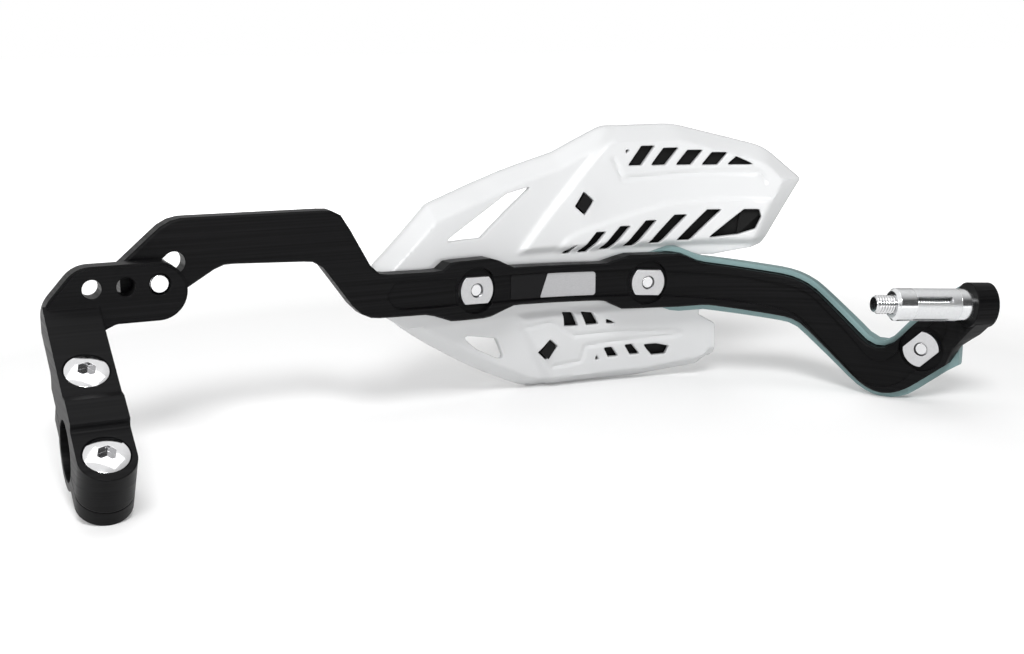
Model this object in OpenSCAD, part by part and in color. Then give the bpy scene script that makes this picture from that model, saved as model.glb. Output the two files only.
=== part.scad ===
// Motorcycle hand guard for the right hand.
// A bent alloy bar is bolted to a handlebar clamp at its inner end, and an
// expander at its outer end grips the inside of the handlebar tube.
// A moulded shield and an abrasion strip are screwed to the front of the bar.
// Frame: X along the clamp's bore, outwards. Y forwards. Z up.
// The origin is the centre of the clamp's bore.

/* [Clamp] */
// Diameter of the handlebar tube that the clamp grips
grip_d = 22.2; // [21:0.1:23]
// Width of the clamp and its arm along the handlebar
clamp_w = 20; // [19:0.5:23]
// Slope of the arm, down towards the rider
arm_slope = 33; // [30:1:35]
// Distance from the bore's centre back to the front bolt
front_bolt_reach = 18.4; // [17.8:0.1:19.6]
// Distance from the bore's centre forwards to the rear bolt
rear_bolt_reach = 20.2; // [19.4:0.1:21]
// Wall above the bore, under the raised block
block_wall = 9.2; // [8:0.1:11]
// Drop from the raised block to the seat of the front bolt
front_step = 3.2; // [2.6:0.1:4]
// Drop from the raised block to the seat of the rear bolt
rear_step = 2.2; // [1.8:0.1:3]
// Thickness of the cap's two ears
ear_t = 6.7; // [5.5:0.1:8]
// Wall of the cap under the bore
cap_wall = 3; // [2.5:0.1:6]
// Gap between the arm and the cap
split_gap = 0.4; // [0.2:0.1:1]
// Thickness of the arm behind the rear bolt
arm_t = 13; // [11:0.5:15]

/* [Clamp bolts] */
// Diameter of the clamp bolts
clamp_bolt_d = 8; // [7:0.1:8.4]
// Diameter of their button heads
clamp_head_d = 15.6; // [15:0.1:17.2]
// Height of their button heads
clamp_head_h = 4.7; // [4.4:0.1:5.4]
// Depth of the recess that each head sits in
head_recess = 3.5; // [3:0.1:4.2]

/* [Joint plate] */
// Distance from the bore's centre forwards to the face of the joint plate
joint_reach = 33.5; // [32:0.5:37]
// Thickness of the joint plate
plate_t = 9; // [8:0.5:10]
// Height of the joint holes above the bore's centre
joint_z = 50; // [48:0.5:53]
// Distance of the first joint hole from the middle of the clamp
joint_x = 7.6; // [6.5:0.1:9]
// Distance from one joint hole to the next
joint_pitch = 12.45; // [12:0.05:13.5]
// Diameter of the joint screw
joint_screw_d = 8; // [7:0.1:8.2]

/* [Guard bar] */
// Thickness of the guard bar
bar_t = 9; // [8:0.5:10]
// Distance from the joint screw to the drop in the bar
crank_at = 75; // [70:1:82]
// Distance from the drop to the inner nut plate
nut_run = 60; // [58:1:66]
// Distance from the inner to the middle nut plate
nut_pitch = 88; // [84:1:94]
// Distance from the middle nut plate to the low bend
outer_run = 114; // [110:1:120]
// Distance from the low bend to the outer nut plate
outer_nut_run = 17.4; // [16:0.1:19]
// Distance from the outer nut plate to the boss
boss_run = 25; // [24:0.5:28]
// Height of the inner plate's top edge above the joint holes
inner_rise = 23; // [21:0.5:25]
// Height of the inner plate of the bar
inner_h = 20; // [19:0.5:22]
// Fall from the joint holes to the middle of the bar
crank_fall = 14; // [12:0.5:15]
// Height of the bar between its lobes
neck_h = 17.2; // [16:0.2:19]
// Height of the bar at the two lobes
lobe_h = 25.4; // [24:0.2:27]
// Fall from the middle of the bar to its low bend
bend_fall = 42.5; // [40:0.5:43]
// Diameter of the boss that holds the expander
boss_d = 19.4; // [18.6:0.1:20]
// Depth of the channel along the bar
channel_d = 1.6; // [1:0.1:2.2]
// Height of the channel
channel_h = 11.8; // [11:0.1:12.4]
// Bend of the bar away from the rider after the drop
bend_out = 8; // [5:1:10]
// Bend of the bar back towards the rider, before the low bend
bend_back = 66; // [60:1:70]
// Bend of the bar at the boss
bend_boss = 44.5; // [42:0.5:50]

/* [Nut plates and screws] */
// Diameter of the nut plates
nut_d = 16; // [14.5:0.1:17]
// Thickness of the nut plates
nut_t = 2.4; // [2:0.1:3]
// Diameter of the screws that hold the shield and the strip
screw_d = 6; // [5:0.1:6.4]
// Diameter of their button heads
screw_head_d = 11; // [10:0.1:12]
// Height of their button heads
screw_head_h = 3.3; // [2.6:0.1:4]

/* [Expander] */
// Diameter of the expander
expander_d = 14; // [13:0.1:15]
// Length of the polished collar
collar_l = 6; // [5:0.1:8]
// Length of the slotted sleeve
sleeve_l = 21; // [19:0.5:24]
// Length of the cone nut
cone_l = 8.7; // [8:0.1:11]
// Length of the bolt's end that shows past the cone nut
stud_l = 8.5; // [7:0.5:12]
// Diameter of the expander's bolt
expander_bolt_d = 8; // [7:0.1:8.4]
// Wall of the slotted sleeve
sleeve_wall = 2.2; // [1.8:0.1:2.4]

/* [Shield] */
// Thickness of the shield
shield_t = 3; // [2.5:0.1:4]
// Height of the shield's upper edge above the bar's middle line
wing_up = 69; // [65:1:72]
// Reach of the shield's lower edge below the bar's middle line
wing_down = 52.3; // [50:0.1:54]
// Forward lean of the flange round the shield's edge
flange_out = 7; // [5:0.5:9]
// Width of the flange round the shield's edge
flange_w = 7; // [6:0.5:9]
// Depth of the fold that crosses each wing
fold_d = 2.5; // [1.5:0.1:3]
// Thickness of the vent covers
cover_t = 1.6; // [1.2:0.1:2]

/* [Abrasion strip] */
// Thickness of the abrasion strip
strip_t = 3.5; // [3:0.1:4.5]
// Height of the strip above the bar's upper edge
strip_over = 2.6; // [2:0.1:3]
// Depth of the strip's lips, back over the bar's upper and lower edges
strip_wrap = 4; // [3:0.5:5]
// Depth of the strip below the bar's lower edge
strip_under = 2.9; // [2:0.1:3.4]

/* [Hidden] */

$fn = 64;
step = 4;                 // spacing of the sections along a swept piece
fit = 0.2;                // running gap all round a screw's thread
hole_gap = 0.6;           // clearance of a screw in a plain hole
eps = 0.05;
seat_gap = 0.12;          // gap where one curved piece lies on another

grip_r = grip_d / 2;
block_z = grip_r + block_wall;
front_seat = block_z - front_step;
rear_seat = block_z - rear_step;
end_r = clamp_w / 2;
front_end = front_bolt_reach + 1.3;
rear_end = rear_bolt_reach + end_r;
plate_back = joint_reach + plate_t;
joint_screw_x = joint_x + 2 * joint_pitch;
tapped = 0.89;              // the open bore of a tapped hole, against its thread
bar_mid_y = plate_back + bar_t / 2;
rider_w = -bar_t / 2;     // the bar's rider side, from its middle surface
front_w = bar_t / 2;      // the bar's front side

// Stations along the bar, from the joint screw
nut_in_s = crank_at + nut_run;
nut_mid_s = nut_in_s + nut_pitch;
low_s = nut_mid_s + outer_run;
nut_out_s = low_s + outer_nut_run;
boss_s = nut_out_s + boss_run;

// Levels of the bar, from the bore's centre
inner_top = joint_z + inner_rise;
inner_bottom = inner_top - inner_h;
mid_z = joint_z - crank_fall;
neck = neck_h / 2;
lobe = lobe_h / 2;
mid_fall = 5.6;           // the middle of the bar slopes down by this much
nut_in_z = mid_z - 1.6;
nut_mid_z = mid_z - mid_fall;
low_z = mid_z - bend_fall;
boss_z = low_z + 32.6;
boss_t = bar_t + 0.9;      // the boss stands out of the twisted end of the bar
boss_tilt = 2.8;           // the expander points up by this angle, inwards
nut_out_z = low_z + 9.7;

// Plan of the bar: each item is a length and the turn along it, in degrees
PLAN = [
    [nut_in_s - 40, 0],
    [30, bend_out],
    [35, 0],
    [nut_pitch - 32, -14],
    [16, 0],
    [outer_run - 8, 14 - bend_back],
    [outer_nut_run + 10.4, 0],
    [12.4, -bend_boss],
    [boss_run - 8.8, 0]
];

// One length of the plan from point p, where p is x, y and heading
function advance(p, d, turn) =
    abs(turn) < 0.001
        ? [p[0] + d * cos(p[2]), p[1] + d * sin(p[2]), p[2]]
        : let (r = d * 180 / (PI * turn), a = p[2], b = p[2] + turn)
            [p[0] + r * (sin(b) - sin(a)), p[1] - r * (cos(b) - cos(a)), b];

// The point of the bar's plan at a distance s along it
function walk(s, i, p) =
    let (len = PLAN[i][0], turn = PLAN[i][1])
        (s <= len || i == len(PLAN) - 1)
            ? advance(p, s, turn * s / len)
            : walk(s - len, i + 1, advance(p, len, turn));
function plan_at(s) = walk(s, 0, [joint_screw_x, bar_mid_y, 0]);

// A point given by distance s along the bar, offset w forwards and height z
function on_plan(s, w, z) =
    let (p = plan_at(s)) [p[0] - w * sin(p[2]), p[1] + w * cos(p[2]), z];

// An open line through corners [s, z, radius], with its corners rounded
function unit(v) = v / norm(v);
function corner(a, b, c, r) =
    let (u = unit([a[0] - b[0], a[1] - b[1]]),
         v = unit([c[0] - b[0], c[1] - b[1]]),
         half = acos(max(-1, min(1, u * v))) / 2,
         t = min(r / tan(half), 0.49 * norm([a[0] - b[0], a[1] - b[1]]),
                 0.49 * norm([c[0] - b[0], c[1] - b[1]])),
         n = 8)
        [for (i = [0:n]) let (k = i / n)
            [b[0] + t * (u[0] * (1 - k) * (1 - k) + v[0] * k * k),
             b[1] + t * (u[1] * (1 - k) * (1 - k) + v[1] * k * k)]];
function rounded_line(pts) = concat(
    [[pts[0][0], pts[0][1]]],
    [for (i = [1:len(pts) - 2])
        each corner(pts[i - 1], pts[i], pts[i + 1], pts[i][2])],
    [[pts[len(pts) - 1][0], pts[len(pts) - 1][1]]]);
function rounded_loop(pts) = let (n = len(pts))
    [for (i = [0:n - 1])
        each (pts[i][2] == 0 ? [[pts[i][0], pts[i][1]]]
            : corner(pts[(i + n - 1) % n], pts[i], pts[(i + 1) % n], pts[i][2]))];

// Upper and lower edge of the bar, as height against distance
bar_start = -13;
bar_end = boss_s + 6.2;
BAR_TOP = rounded_line([
    [bar_start, inner_top - 16.5, 0],
    [6.4, inner_top + 0.2, 16],
    [crank_at - 1, inner_top - 0.3, 9],
    [crank_at + 14, mid_z + neck + 0.4, 8],
    [nut_in_s - 16.5, mid_z + neck - 0.4, 3],
    [nut_in_s - 12.5, nut_in_z + lobe + 0.5, 4],
    [nut_in_s + 9, nut_in_z + lobe + 0.3, 7],
    [nut_in_s + 19, nut_in_z + neck - 0.6, 5],
    [nut_mid_s - 21.5, nut_mid_z + neck + 1.2, 5],
    [nut_mid_s - 9.5, nut_mid_z + lobe + 0.2, 7],
    [nut_mid_s + 16.5, nut_mid_z + lobe - 0.5, 7],
    [nut_mid_s + 27.5, nut_mid_z + neck - 1.3, 6],
    [low_s - 38, low_z + 36.8, 34],
    [low_s - 1.7, low_z + 3.2, 13.5],
    [nut_out_s - 2.4, nut_out_z + 12.6, 10],
    [boss_s - 6.5, boss_z + boss_d / 2 - 2.4, 2],
    [boss_s, boss_z + boss_d / 2, 3],
    [bar_end, boss_z + boss_d / 2 - 2.2, 0]
]);
BAR_BOTTOM_CORNERS = [
    [bar_start, joint_z - 6.5, 0],
    [8, joint_z - 6.5, 6],
    [26, inner_bottom + 1.2, 12],
    [crank_at - 10, inner_bottom - 0.5, 9],
    [crank_at + 8, mid_z - neck - 0.2, 14],
    [nut_in_s - 23, mid_z - neck - 1, 4],
    [nut_in_s - 12, nut_in_z - lobe + 0.5, 5],
    [nut_in_s + 6, nut_in_z - lobe, 5],
    [nut_in_s + 19.5, nut_in_z - neck, 5],
    [nut_mid_s - 21.5, nut_mid_z - neck + 1.7, 4],
    [nut_mid_s - 13, nut_mid_z - lobe + 1.2, 5],
    [nut_mid_s + 16, nut_mid_z - lobe + 0.3, 8],
    [nut_mid_s + 30, nut_mid_z - lobe + 0.7, 8],
    [low_s - 41, low_z + 18.5, 20],
    [low_s, low_z - 18.8, 22],
    [nut_out_s + 12.2, nut_out_z - 5.2, 2],
    [nut_out_s + 15.6, nut_out_z + 3.2, 5],
    [bar_end, boss_z - boss_d / 2 + 2.2, 0]
];
BAR_BOTTOM = rounded_line(BAR_BOTTOM_CORNERS);
STRIP_BOTTOM = rounded_line([
    for (i = [0:14]) BAR_BOTTOM_CORNERS[i],
    [nut_out_s + 20, nut_out_z - 5.2 + 0.85 * 7.8, 0]
]);

// Middle line of the channel and of the three nut plates
channel_from = crank_at + 18.8;
channel_to = nut_out_s + 11;
CHANNEL = rounded_line([
    [channel_from - 10, mid_z + 0.4, 0],
    [nut_in_s, nut_in_z, 20],
    [nut_mid_s, nut_mid_z, 20],
    [nut_mid_s + 45, nut_mid_z - 4.6, 20],
    [low_s - 40, low_z + 27.4, 28],
    [low_s - 1.5, low_z - 8.7, 16],
    [nut_out_s, nut_out_z, 4],
    [channel_to + 5, nut_out_z + 15.6, 0]
]);
function channel_z(s) = lookup(s, CHANNEL);
function rise(s, line) = (lookup(s + 0.5, line) - lookup(s - 0.5, line));
function lengthen(s, line) = sqrt(1 + pow(rise(s, line), 2));

// Stations from a to b, close enough for the bends and the corners
function stations(a, b, gap = step) =
    let (n = ceil((b - a) / gap)) [for (i = [0:n]) a + (b - a) * i / n];

// A closed skin through rings that each have the same number of points. Each
// side face is split along its shorter diagonal.
module swept(rings) {
    n = len(rings[0]);
    m = len(rings);
    points = [for (ring = rings) each ring];
    sides = [for (i = [0:m - 2], j = [0:n - 1])
        each let (a = i * n + j, b = i * n + (j + 1) % n, c = a + n, d = b + n)
            norm(points[a] - points[d]) < norm(points[b] - points[c]) - 0.001
                ? [[a, b, d], [a, d, c]] : [[a, b, c], [b, d, c]]];
    last = (m - 1) * n;
    ends = [for (j = [0:n / 2 - 2]) each let (a = n - 1 - j, b = n - 2 - j)
        [[j + 1, j, a], [j + 1, a, b],
         [last + j, last + j + 1, last + b], [last + j, last + b, last + a]]];
    polyhedron(points, concat(sides, ends));
}

// A band between two lines, from offset w0 to offset w1, with bevelled edges
module band(line_low, line_high, ss, w0, w1, bevel, down = 0, up = 0) {
    swept([for (s = ss)
        let (zl = lookup(s, line_low) - down * lengthen(s, line_low),
             zh = lookup(s, line_high) + up * lengthen(s, line_high),
             cl = bevel * lengthen(s, line_low),
             ch = bevel * lengthen(s, line_high))
            [on_plan(s, w0, zl + cl), on_plan(s, w0, zh - ch),
             on_plan(s, w0 + bevel, zh), on_plan(s, w1 - bevel, zh),
             on_plan(s, w1, zh - ch), on_plan(s, w1, zl + cl),
             on_plan(s, w1 - bevel, zl), on_plan(s, w0 + bevel, zl)]]);
}

// Puts children in the bar's own frame at s: X along it, Y forwards, Z up
module on_bar(s, w, z) {
    p = plan_at(s);
    translate(on_plan(s, w, z)) rotate([0, 0, p[2]]) children();
}

// A cylinder along Y, from y0 to y1
module rod_y(d, y0, y1) {
    translate([0, y0, 0]) rotate([-90, 0, 0]) cylinder(d = d, h = y1 - y0);
}

// A button head along +Z from its seat: a straight rim, a dome and a hex socket
module button_head(d, h, across, rim) {
    dome_r = (pow(d / 2, 2) + pow(h - rim, 2)) / (2 * (h - rim));
    difference() {
        intersection() {
            cylinder(d = d, h = h);
            translate([0, 0, h - dome_r]) sphere(r = dome_r, $fn = 96);
        }
        translate([0, 0, h * 0.35])
            rotate([0, 0, 15]) cylinder(d = across / cos(30), h = h, $fn = 6);
    }
}

// A screw along -Y: its head's seat is at y0 and its point at y1
module screw_y(d, head_d, head_h, across, y0, y1) {
    translate([0, y0, 0]) rotate([-90, 0, 0])
        button_head(head_d, head_h, across, 0.25 * head_h);
    rod_y(d, y1, y0 + 0.1 * head_h);
}

// Puts children in the clamp's sloping frame: Y up the slope, Z off it
module on_slope() {
    rotate([arm_slope, 0, 0]) children();
}

// Distance up the slope at which height z off it meets the joint plate's plane
function reach_at(z, y_plane) = (y_plane + z * sin(arm_slope)) / cos(arm_slope);

// Side profile of the arm, in the sloping frame
arm_under = rear_seat - arm_t;
arm_far = reach_at(arm_under, plate_back);
module arm_profile() {
    polygon(rounded_loop([
        [-front_end - end_r, split_gap / 2, 0],
        [-front_end - end_r, front_seat, 0],
        [-6.7, front_seat, 1.6],
        [-6, block_z, 0.8],
        [4.8, block_z, 0],
        [8.8, rear_seat, 0],
        [reach_at(rear_seat, joint_reach + 2), rear_seat, 0],
        [arm_far, arm_under, 0],
        [rear_end + 1.5, arm_under, 4],
        [rear_end, split_gap / 2, 0]
    ]));
}

module clamp_end_trim(z0, z1) {
    translate([0, -front_end, z0]) cylinder(r = end_r, h = z1 - z0, $fn = 96);
    translate([-end_r, -front_end, z0]) cube([clamp_w, arm_far + front_end, z1 - z0]);
}

// Outline of the joint plate, seen from the rider
plate_top = joint_z + 8.2;
plate_bottom = joint_z - 14;
plate_r = (plate_top - plate_bottom) / 2;
plate_left = -clamp_w / 2;
module joint_outline() {
    translate([joint_screw_x - 0.6, joint_z - 2.9]) circle(r = plate_r, $fn = 96);
    polygon(rounded_loop([
        [plate_left, joint_z - 16.6, 0],
        [plate_left, plate_top - 14, 12],
        [plate_left + 12.5, plate_top, 12],
        [joint_screw_x - 0.6, plate_top, 0],
        [joint_screw_x - 0.6, plate_bottom, 0],
        [clamp_w / 2 + 6, plate_bottom, 5],
        [clamp_w / 2, joint_z - 16.6, 0]
    ]));
}

module joint_plate() {
    edge = 1.2;
    translate([0, plate_back, 0]) rotate([90, 0, 0])
        linear_extrude(plate_t - edge) joint_outline();
    translate([0, joint_reach + edge + eps, 0]) rotate([90, 0, 0])
        linear_extrude(edge + eps) offset(delta = -edge * 0.7) joint_outline();
}

module bolt_hole(y, seat, d, z0) {
    translate([0, y, z0]) cylinder(d = d, h = block_z - z0 + 20);
    translate([0, y, seat - head_recess])
        cylinder(d = clamp_head_d + 0.8, h = head_recess + clamp_head_h);
}

module clamp_arm() {
    color("#1b1c1e") difference() {
        union() {
            on_slope() intersection() {
                translate([-end_r, 0, 0]) rotate([90, 0, 90])
                    linear_extrude(clamp_w) arm_profile();
                clamp_end_trim(0, block_z + 5);
            }
            joint_plate();
        }
        on_slope() {
            translate([-clamp_w, 0, 0]) rotate([0, 90, 0])
                cylinder(d = grip_d, h = 2 * clamp_w, $fn = 96);
            bolt_hole(-front_bolt_reach, front_seat, clamp_bolt_d + hole_gap, -1);
            bolt_hole(rear_bolt_reach, rear_seat, clamp_bolt_d + hole_gap, -1);
        }
        for (i = [0:2]) translate([joint_x + i * joint_pitch, 0, joint_z])
            rod_y(i == 2 ? joint_screw_d + fit : tapped * joint_screw_d,
                  joint_reach - 1, plate_back + 1);
    }
}

module clamp_cap() {
    arch_r = grip_r + cap_wall;
    color("#1b1c1e") on_slope() difference() {
        union() {
            translate([0, 0, -ear_t]) {
                h = ear_t - split_gap / 2;
                for (y = [-front_end, rear_bolt_reach])
                    translate([0, y, 0]) cylinder(r = end_r, h = h, $fn = 96);
                translate([-end_r, -front_end, 0])
                    cube([clamp_w, front_end + rear_bolt_reach, h]);
            }
            intersection() {
                translate([-end_r, 0, 0]) rotate([0, 90, 0])
                    cylinder(r = arch_r, h = clamp_w, $fn = 96);
                translate([-end_r, -arch_r, -arch_r])
                    cube([clamp_w, 2 * arch_r, arch_r - split_gap / 2]);
            }
        }
        translate([-clamp_w, 0, 0]) rotate([0, 90, 0])
            cylinder(d = grip_d, h = 2 * clamp_w, $fn = 96);
        for (y = [-front_bolt_reach, rear_bolt_reach]) translate([0, y, -ear_t - 1])
            cylinder(d = clamp_bolt_d + fit, h = ear_t + 2);
    }
}

module clamp_bolt(y, seat) {
    head_seat = seat - head_recess;
    color("#d9dadc") on_slope() translate([0, y, 0]) {
        translate([0, 0, head_seat])
            button_head(clamp_head_d, clamp_head_h, 6, head_recess - 0.2);
        translate([0, 0, -ear_t + 0.5])
            cylinder(d = clamp_bolt_d, h = head_seat + ear_t - 0.5 + eps);
    }
}
module clamp_bolt_front() { clamp_bolt(-front_bolt_reach, front_seat); }
module clamp_bolt_rear() { clamp_bolt(rear_bolt_reach, rear_seat); }

joint_washer_t = 1.6;
bar_back = plate_back + bar_t;
module joint_screw() {
    color("#d9dadc") translate([joint_screw_x, 0, joint_z])
        screw_y(joint_screw_d, joint_screw_d * 1.7, joint_screw_d * 0.55, 5,
                bar_back + joint_washer_t, joint_reach + 0.6);
}
module joint_washer() {
    color("#c9cacc") translate([joint_screw_x, 0, joint_z]) difference() {
        rod_y(joint_screw_d * 2.1, bar_back, bar_back + joint_washer_t);
        rod_y(joint_screw_d + hole_gap, bar_back - 1, bar_back + joint_washer_t + 1);
    }
}

nut_flats = channel_h - 0.3;
function nut_tilt(s) = atan(rise(s, CHANNEL));

module nut_pocket(s) {
    on_bar(s, rider_w, channel_z(s)) {
        rod_y(nut_d + 4, -1, nut_t);
        rod_y(screw_d + hole_gap, -1, bar_t + 1);
    }
}

module channel_cut() {
    end_gap = 0.1;
    run = stations(channel_from + end_gap, channel_to - end_gap, 3);
    half = channel_h / 2;
    swept([for (s = run)
        let (d = min(half, s - channel_from, channel_to - s),
             h = sqrt(half * half - pow(half - d, 2)) * lengthen(s, CHANNEL),
             z = channel_z(s))
            [on_plan(s, rider_w - 1, z - h), on_plan(s, rider_w - 1, z + h),
             on_plan(s, rider_w + channel_d, z + h),
             on_plan(s, rider_w + channel_d, z - h)]]);
}

// Slanted slot in the bar's inner end, with the joint screw in its lower end
slot_run = 9.8;
module joint_slot() {
    w = joint_screw_d + hole_gap;
    side = w - 0.1;
    on_bar(0, 0, joint_z) {
        rod_y(w, -bar_t, bar_t);
        rotate([0, -39.5, 0]) {
            translate([slot_run, 0, 0]) rod_y(w, -bar_t - 1, bar_t + 1);
            translate([0, -bar_t - 2, -side / 2]) cube([slot_run, 2 * bar_t + 4, side]);
        }
    }
}

module guard_bar() {
    color("#1b1c1e") difference() {
        union() {
            band(BAR_BOTTOM, BAR_TOP, stations(bar_start, bar_end), rider_w, front_w, 0.8);
            on_boss() rod_y(boss_d, 0, boss_t);
        }
        channel_cut();
        nut_pocket(nut_in_s);
        nut_pocket(nut_mid_s);
        nut_pocket(nut_out_s);
        joint_slot();
        on_boss() {
            rod_y(expander_bolt_d + hole_gap, -bar_t, 2 * bar_t);
            rod_y(expander_d + 3, -6, 0);
            rod_y(expander_d + 3, boss_t, boss_t + 6);
        }
    }
}

module nut_plate(s) {
    color("#d9dadc") on_bar(s, rider_w, channel_z(s)) rotate([0, -nut_tilt(s), 0])
        difference() {
            intersection() {
                rod_y(nut_d, 0, nut_t);
                translate([-nut_d, -1, -nut_flats / 2]) cube([2 * nut_d, nut_t + 2, nut_flats]);
            }
            rod_y(screw_d + fit, -1, nut_t + 1);
        }
}
module nut_plate_inner() { nut_plate(nut_in_s); }
module nut_plate_middle() { nut_plate(nut_mid_s); }
module nut_plate_outer() { nut_plate(nut_out_s); }

module bar_screw(s, seat_w) {
    color("#d9dadc") on_bar(s, 0, channel_z(s))
        screw_y(screw_d, screw_head_d, screw_head_h, 4, seat_w, rider_w + 0.6);
}
shield_w = front_w + strip_t + seat_gap;   // rear face of the shield at the bar
shield_front = shield_w + shield_t;
module shield_screw_inner() { bar_screw(nut_in_s, shield_front); }
module shield_screw_middle() { bar_screw(nut_mid_s, shield_front); }
module strip_screw_outer() { bar_screw(nut_out_s, front_w + strip_t + 0.05); }

// Plain label in the channel, between the inner and the middle nut plate
label_from = nut_in_s + 18;
label_to = nut_in_s + 62;
label_h = 10.6;
label_t = 0.25;
module label() {
    color("#b9babc") swept([for (s = stations(label_from, label_to))
        let (z = channel_z(s), w1 = rider_w + channel_d - 0.03, w0 = w1 - label_t)
            [on_plan(s, w0, z - label_h / 2), on_plan(s, w0, z + label_h / 2),
             on_plan(s, w1, z + label_h / 2), on_plan(s, w1, z - label_h / 2)]]);
}

// The strip lies on the front of the bar, from the middle nut plate outwards
strip_from = nut_mid_s - 14;
strip_to = nut_out_s + 14;
STRIP_GROWTH = [[nut_mid_s + 4, 0], [nut_mid_s + 15, 1]];
LOW_LIP = [[nut_mid_s + 11, 0], [nut_mid_s + 15, 1], [nut_out_s - 6, 1], [nut_out_s, 0]];
HIGH_LIP = [[nut_mid_s + 11, 0], [nut_mid_s + 15, 1], [nut_out_s + 4, 1], [nut_out_s + 9, 0]];
function strip_section(s) =
    let (k = lookup(s, STRIP_GROWTH), e = 0.9, g = 0.4,
         low = 0.05 + (strip_wrap - 0.05) * lookup(s, LOW_LIP),
         high = 0.05 + (strip_wrap - 0.05) * lookup(s, HIGH_LIP),
         bar_low = lookup(s, STRIP_BOTTOM), bar_high = lookup(s, BAR_TOP),
         zl = bar_low - (strip_under * k + k - 1) * lengthen(s, STRIP_BOTTOM),
         zh = bar_high + (strip_over * k + k - 1) * lengthen(s, BAR_TOP),
         il = max(zl + 0.3, bar_low - g), ih = min(zh - 0.3, bar_high + g),
         w0 = front_w + seat_gap, w1 = front_w + strip_t)
        [on_plan(s, w0 - low, zl), on_plan(s, w0 - low, il), on_plan(s, w0, il),
         on_plan(s, w0, ih), on_plan(s, w0 - high, ih), on_plan(s, w0 - high, zh),
         on_plan(s, w1 - e, zh), on_plan(s, w1, zh - e),
         on_plan(s, w1, zl + e), on_plan(s, w1 - e, zl)];
module abrasion_strip() {
    color("#5d7678") difference() {
        swept([for (s = stations(strip_from, strip_to)) strip_section(s)]);
        for (s = [nut_mid_s, nut_out_s]) on_bar(s, 0, channel_z(s))
            rod_y(screw_d + hole_gap, 0, 2 * bar_t);
    }
}

// Expander, along -Y of the boss's own frame: towards the handlebar's middle
module on_boss() {
    on_bar(boss_s, 0, boss_z) rotate([-boss_tilt, 0, 0])
        translate([0, -boss_t / 2, 0]) children();
}
sleeve_end = -collar_l - sleeve_l;
cone_end = sleeve_end - cone_l;
module expander_bolt() {
    color("#d9dadc") on_boss()
        screw_y(expander_bolt_d, expander_bolt_d * 1.75, expander_bolt_d * 0.55, 5,
                boss_t, cone_end - stud_l);
}
module expander_collar() {
    color("#d9dadc") on_boss() difference() {
        rod_y(expander_d, -collar_l, 0);
        rod_y(expander_bolt_d + hole_gap, -collar_l - 1, 1);
    }
}
module expander_sleeve() {
    slot_w = 2.6;
    slot_l = sleeve_l - 4.5;
    inner_d = expander_d - 2 * sleeve_wall;
    sleeve_turn = 16;
    color("#c9cacc") on_boss() rotate([0, sleeve_turn, 0]) difference() {
        rod_y(expander_d, sleeve_end, -collar_l);
        rod_y(inner_d, sleeve_end - 1, -collar_l + 1);
        for (a = [45:90:315]) rotate([0, a, 0])
            translate([0, sleeve_end - 1, -slot_w / 2])
                cube([expander_d, slot_l + 1, slot_w]);
    }
}
module expander_cone_nut() {
    face_d = expander_d - 2.4;
    color("#d9dadc") on_boss() difference() {
        union() {
            rod_y(expander_d, cone_end + 1.2, sleeve_end);
            translate([0, cone_end, 0]) rotate([-90, 0, 0])
                cylinder(d1 = face_d, d2 = expander_d, h = 1.2 + eps);
        }
        rod_y(expander_bolt_d + fit, cone_end - 1, sleeve_end + 1);
    }
}

// Edges of the shield, as height against distance along the bar
shield_from = crank_at + 20;
shield_to = nut_mid_s + 72;
wing_split = nut_mid_s + 30;
shield_mid = nut_mid_z;
SHIELD_TOP = rounded_line([
    [shield_from, mid_z + 9.5, 0],
    [shield_from + 29, shield_mid + 0.565 * wing_up, 6],
    [nut_in_s + 28, shield_mid + 0.74 * wing_up, 20],
    [nut_mid_s - 35, shield_mid + 0.84 * wing_up, 12],
    [nut_mid_s - 12, shield_mid + wing_up, 14],
    [nut_mid_s + 20, shield_mid + 1.005 * wing_up, 30],
    [nut_mid_s + 57, shield_mid + 0.85 * wing_up, 20],
    [shield_to, shield_mid + 0.64 * wing_up, 0]
]);
SHIELD_BOTTOM = rounded_line([
    [shield_from, mid_z - 10, 0],
    [shield_from + 20, shield_mid - 0.33 * wing_down, 12],
    [nut_in_s + 10, shield_mid - 0.66 * wing_down, 40],
    [nut_in_s + 45, shield_mid - wing_down, 25],
    [nut_mid_s + 10, shield_mid - 0.985 * wing_down, 30],
    [nut_mid_s + 36, shield_mid - 0.90 * wing_down, 6],
    [nut_mid_s + 42, shield_mid - 0.81 * wing_down, 0]
]);
// Gap between the wings where the bar bends away: height against distance
NOTCH_TOP = [[wing_split, mid_z + 4], [nut_mid_s + 36, mid_z + 4], [nut_mid_s + 57, mid_z + 8],
             [shield_to + 5, mid_z + 12]];
NOTCH_BOTTOM = [[wing_split, shield_mid - 19], [nut_mid_s + 38, shield_mid - 24],
                [nut_mid_s + 39.8, shield_mid - 38], [nut_mid_s + 40, shield_mid - 70]];
NOTCH_AT = [wing_split, nut_mid_s + 34, nut_mid_s + 36, nut_mid_s + 38, nut_mid_s + 39.8,
            nut_mid_s + 40, nut_mid_s + 45, nut_mid_s + 50, nut_mid_s + 57, nut_mid_s + 63,
            nut_mid_s + 70, shield_to + 5];

bend_line_up = mid_z + 6.5;
bend_line_down = shield_mid - 12.5;
lean_up = 0.12;
lean_down = 0.4;

// Forward step of a fold that runs from point a up to point b
function fold(s, z, a, b) =
    let (k = (z - a[1]) / (b[1] - a[1]), at = a[0] + k * (b[0] - a[0]),
         t = max(0, min(1, (s - at) / 5)))
        fold_d * t * t * (3 - 2 * t);

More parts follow.
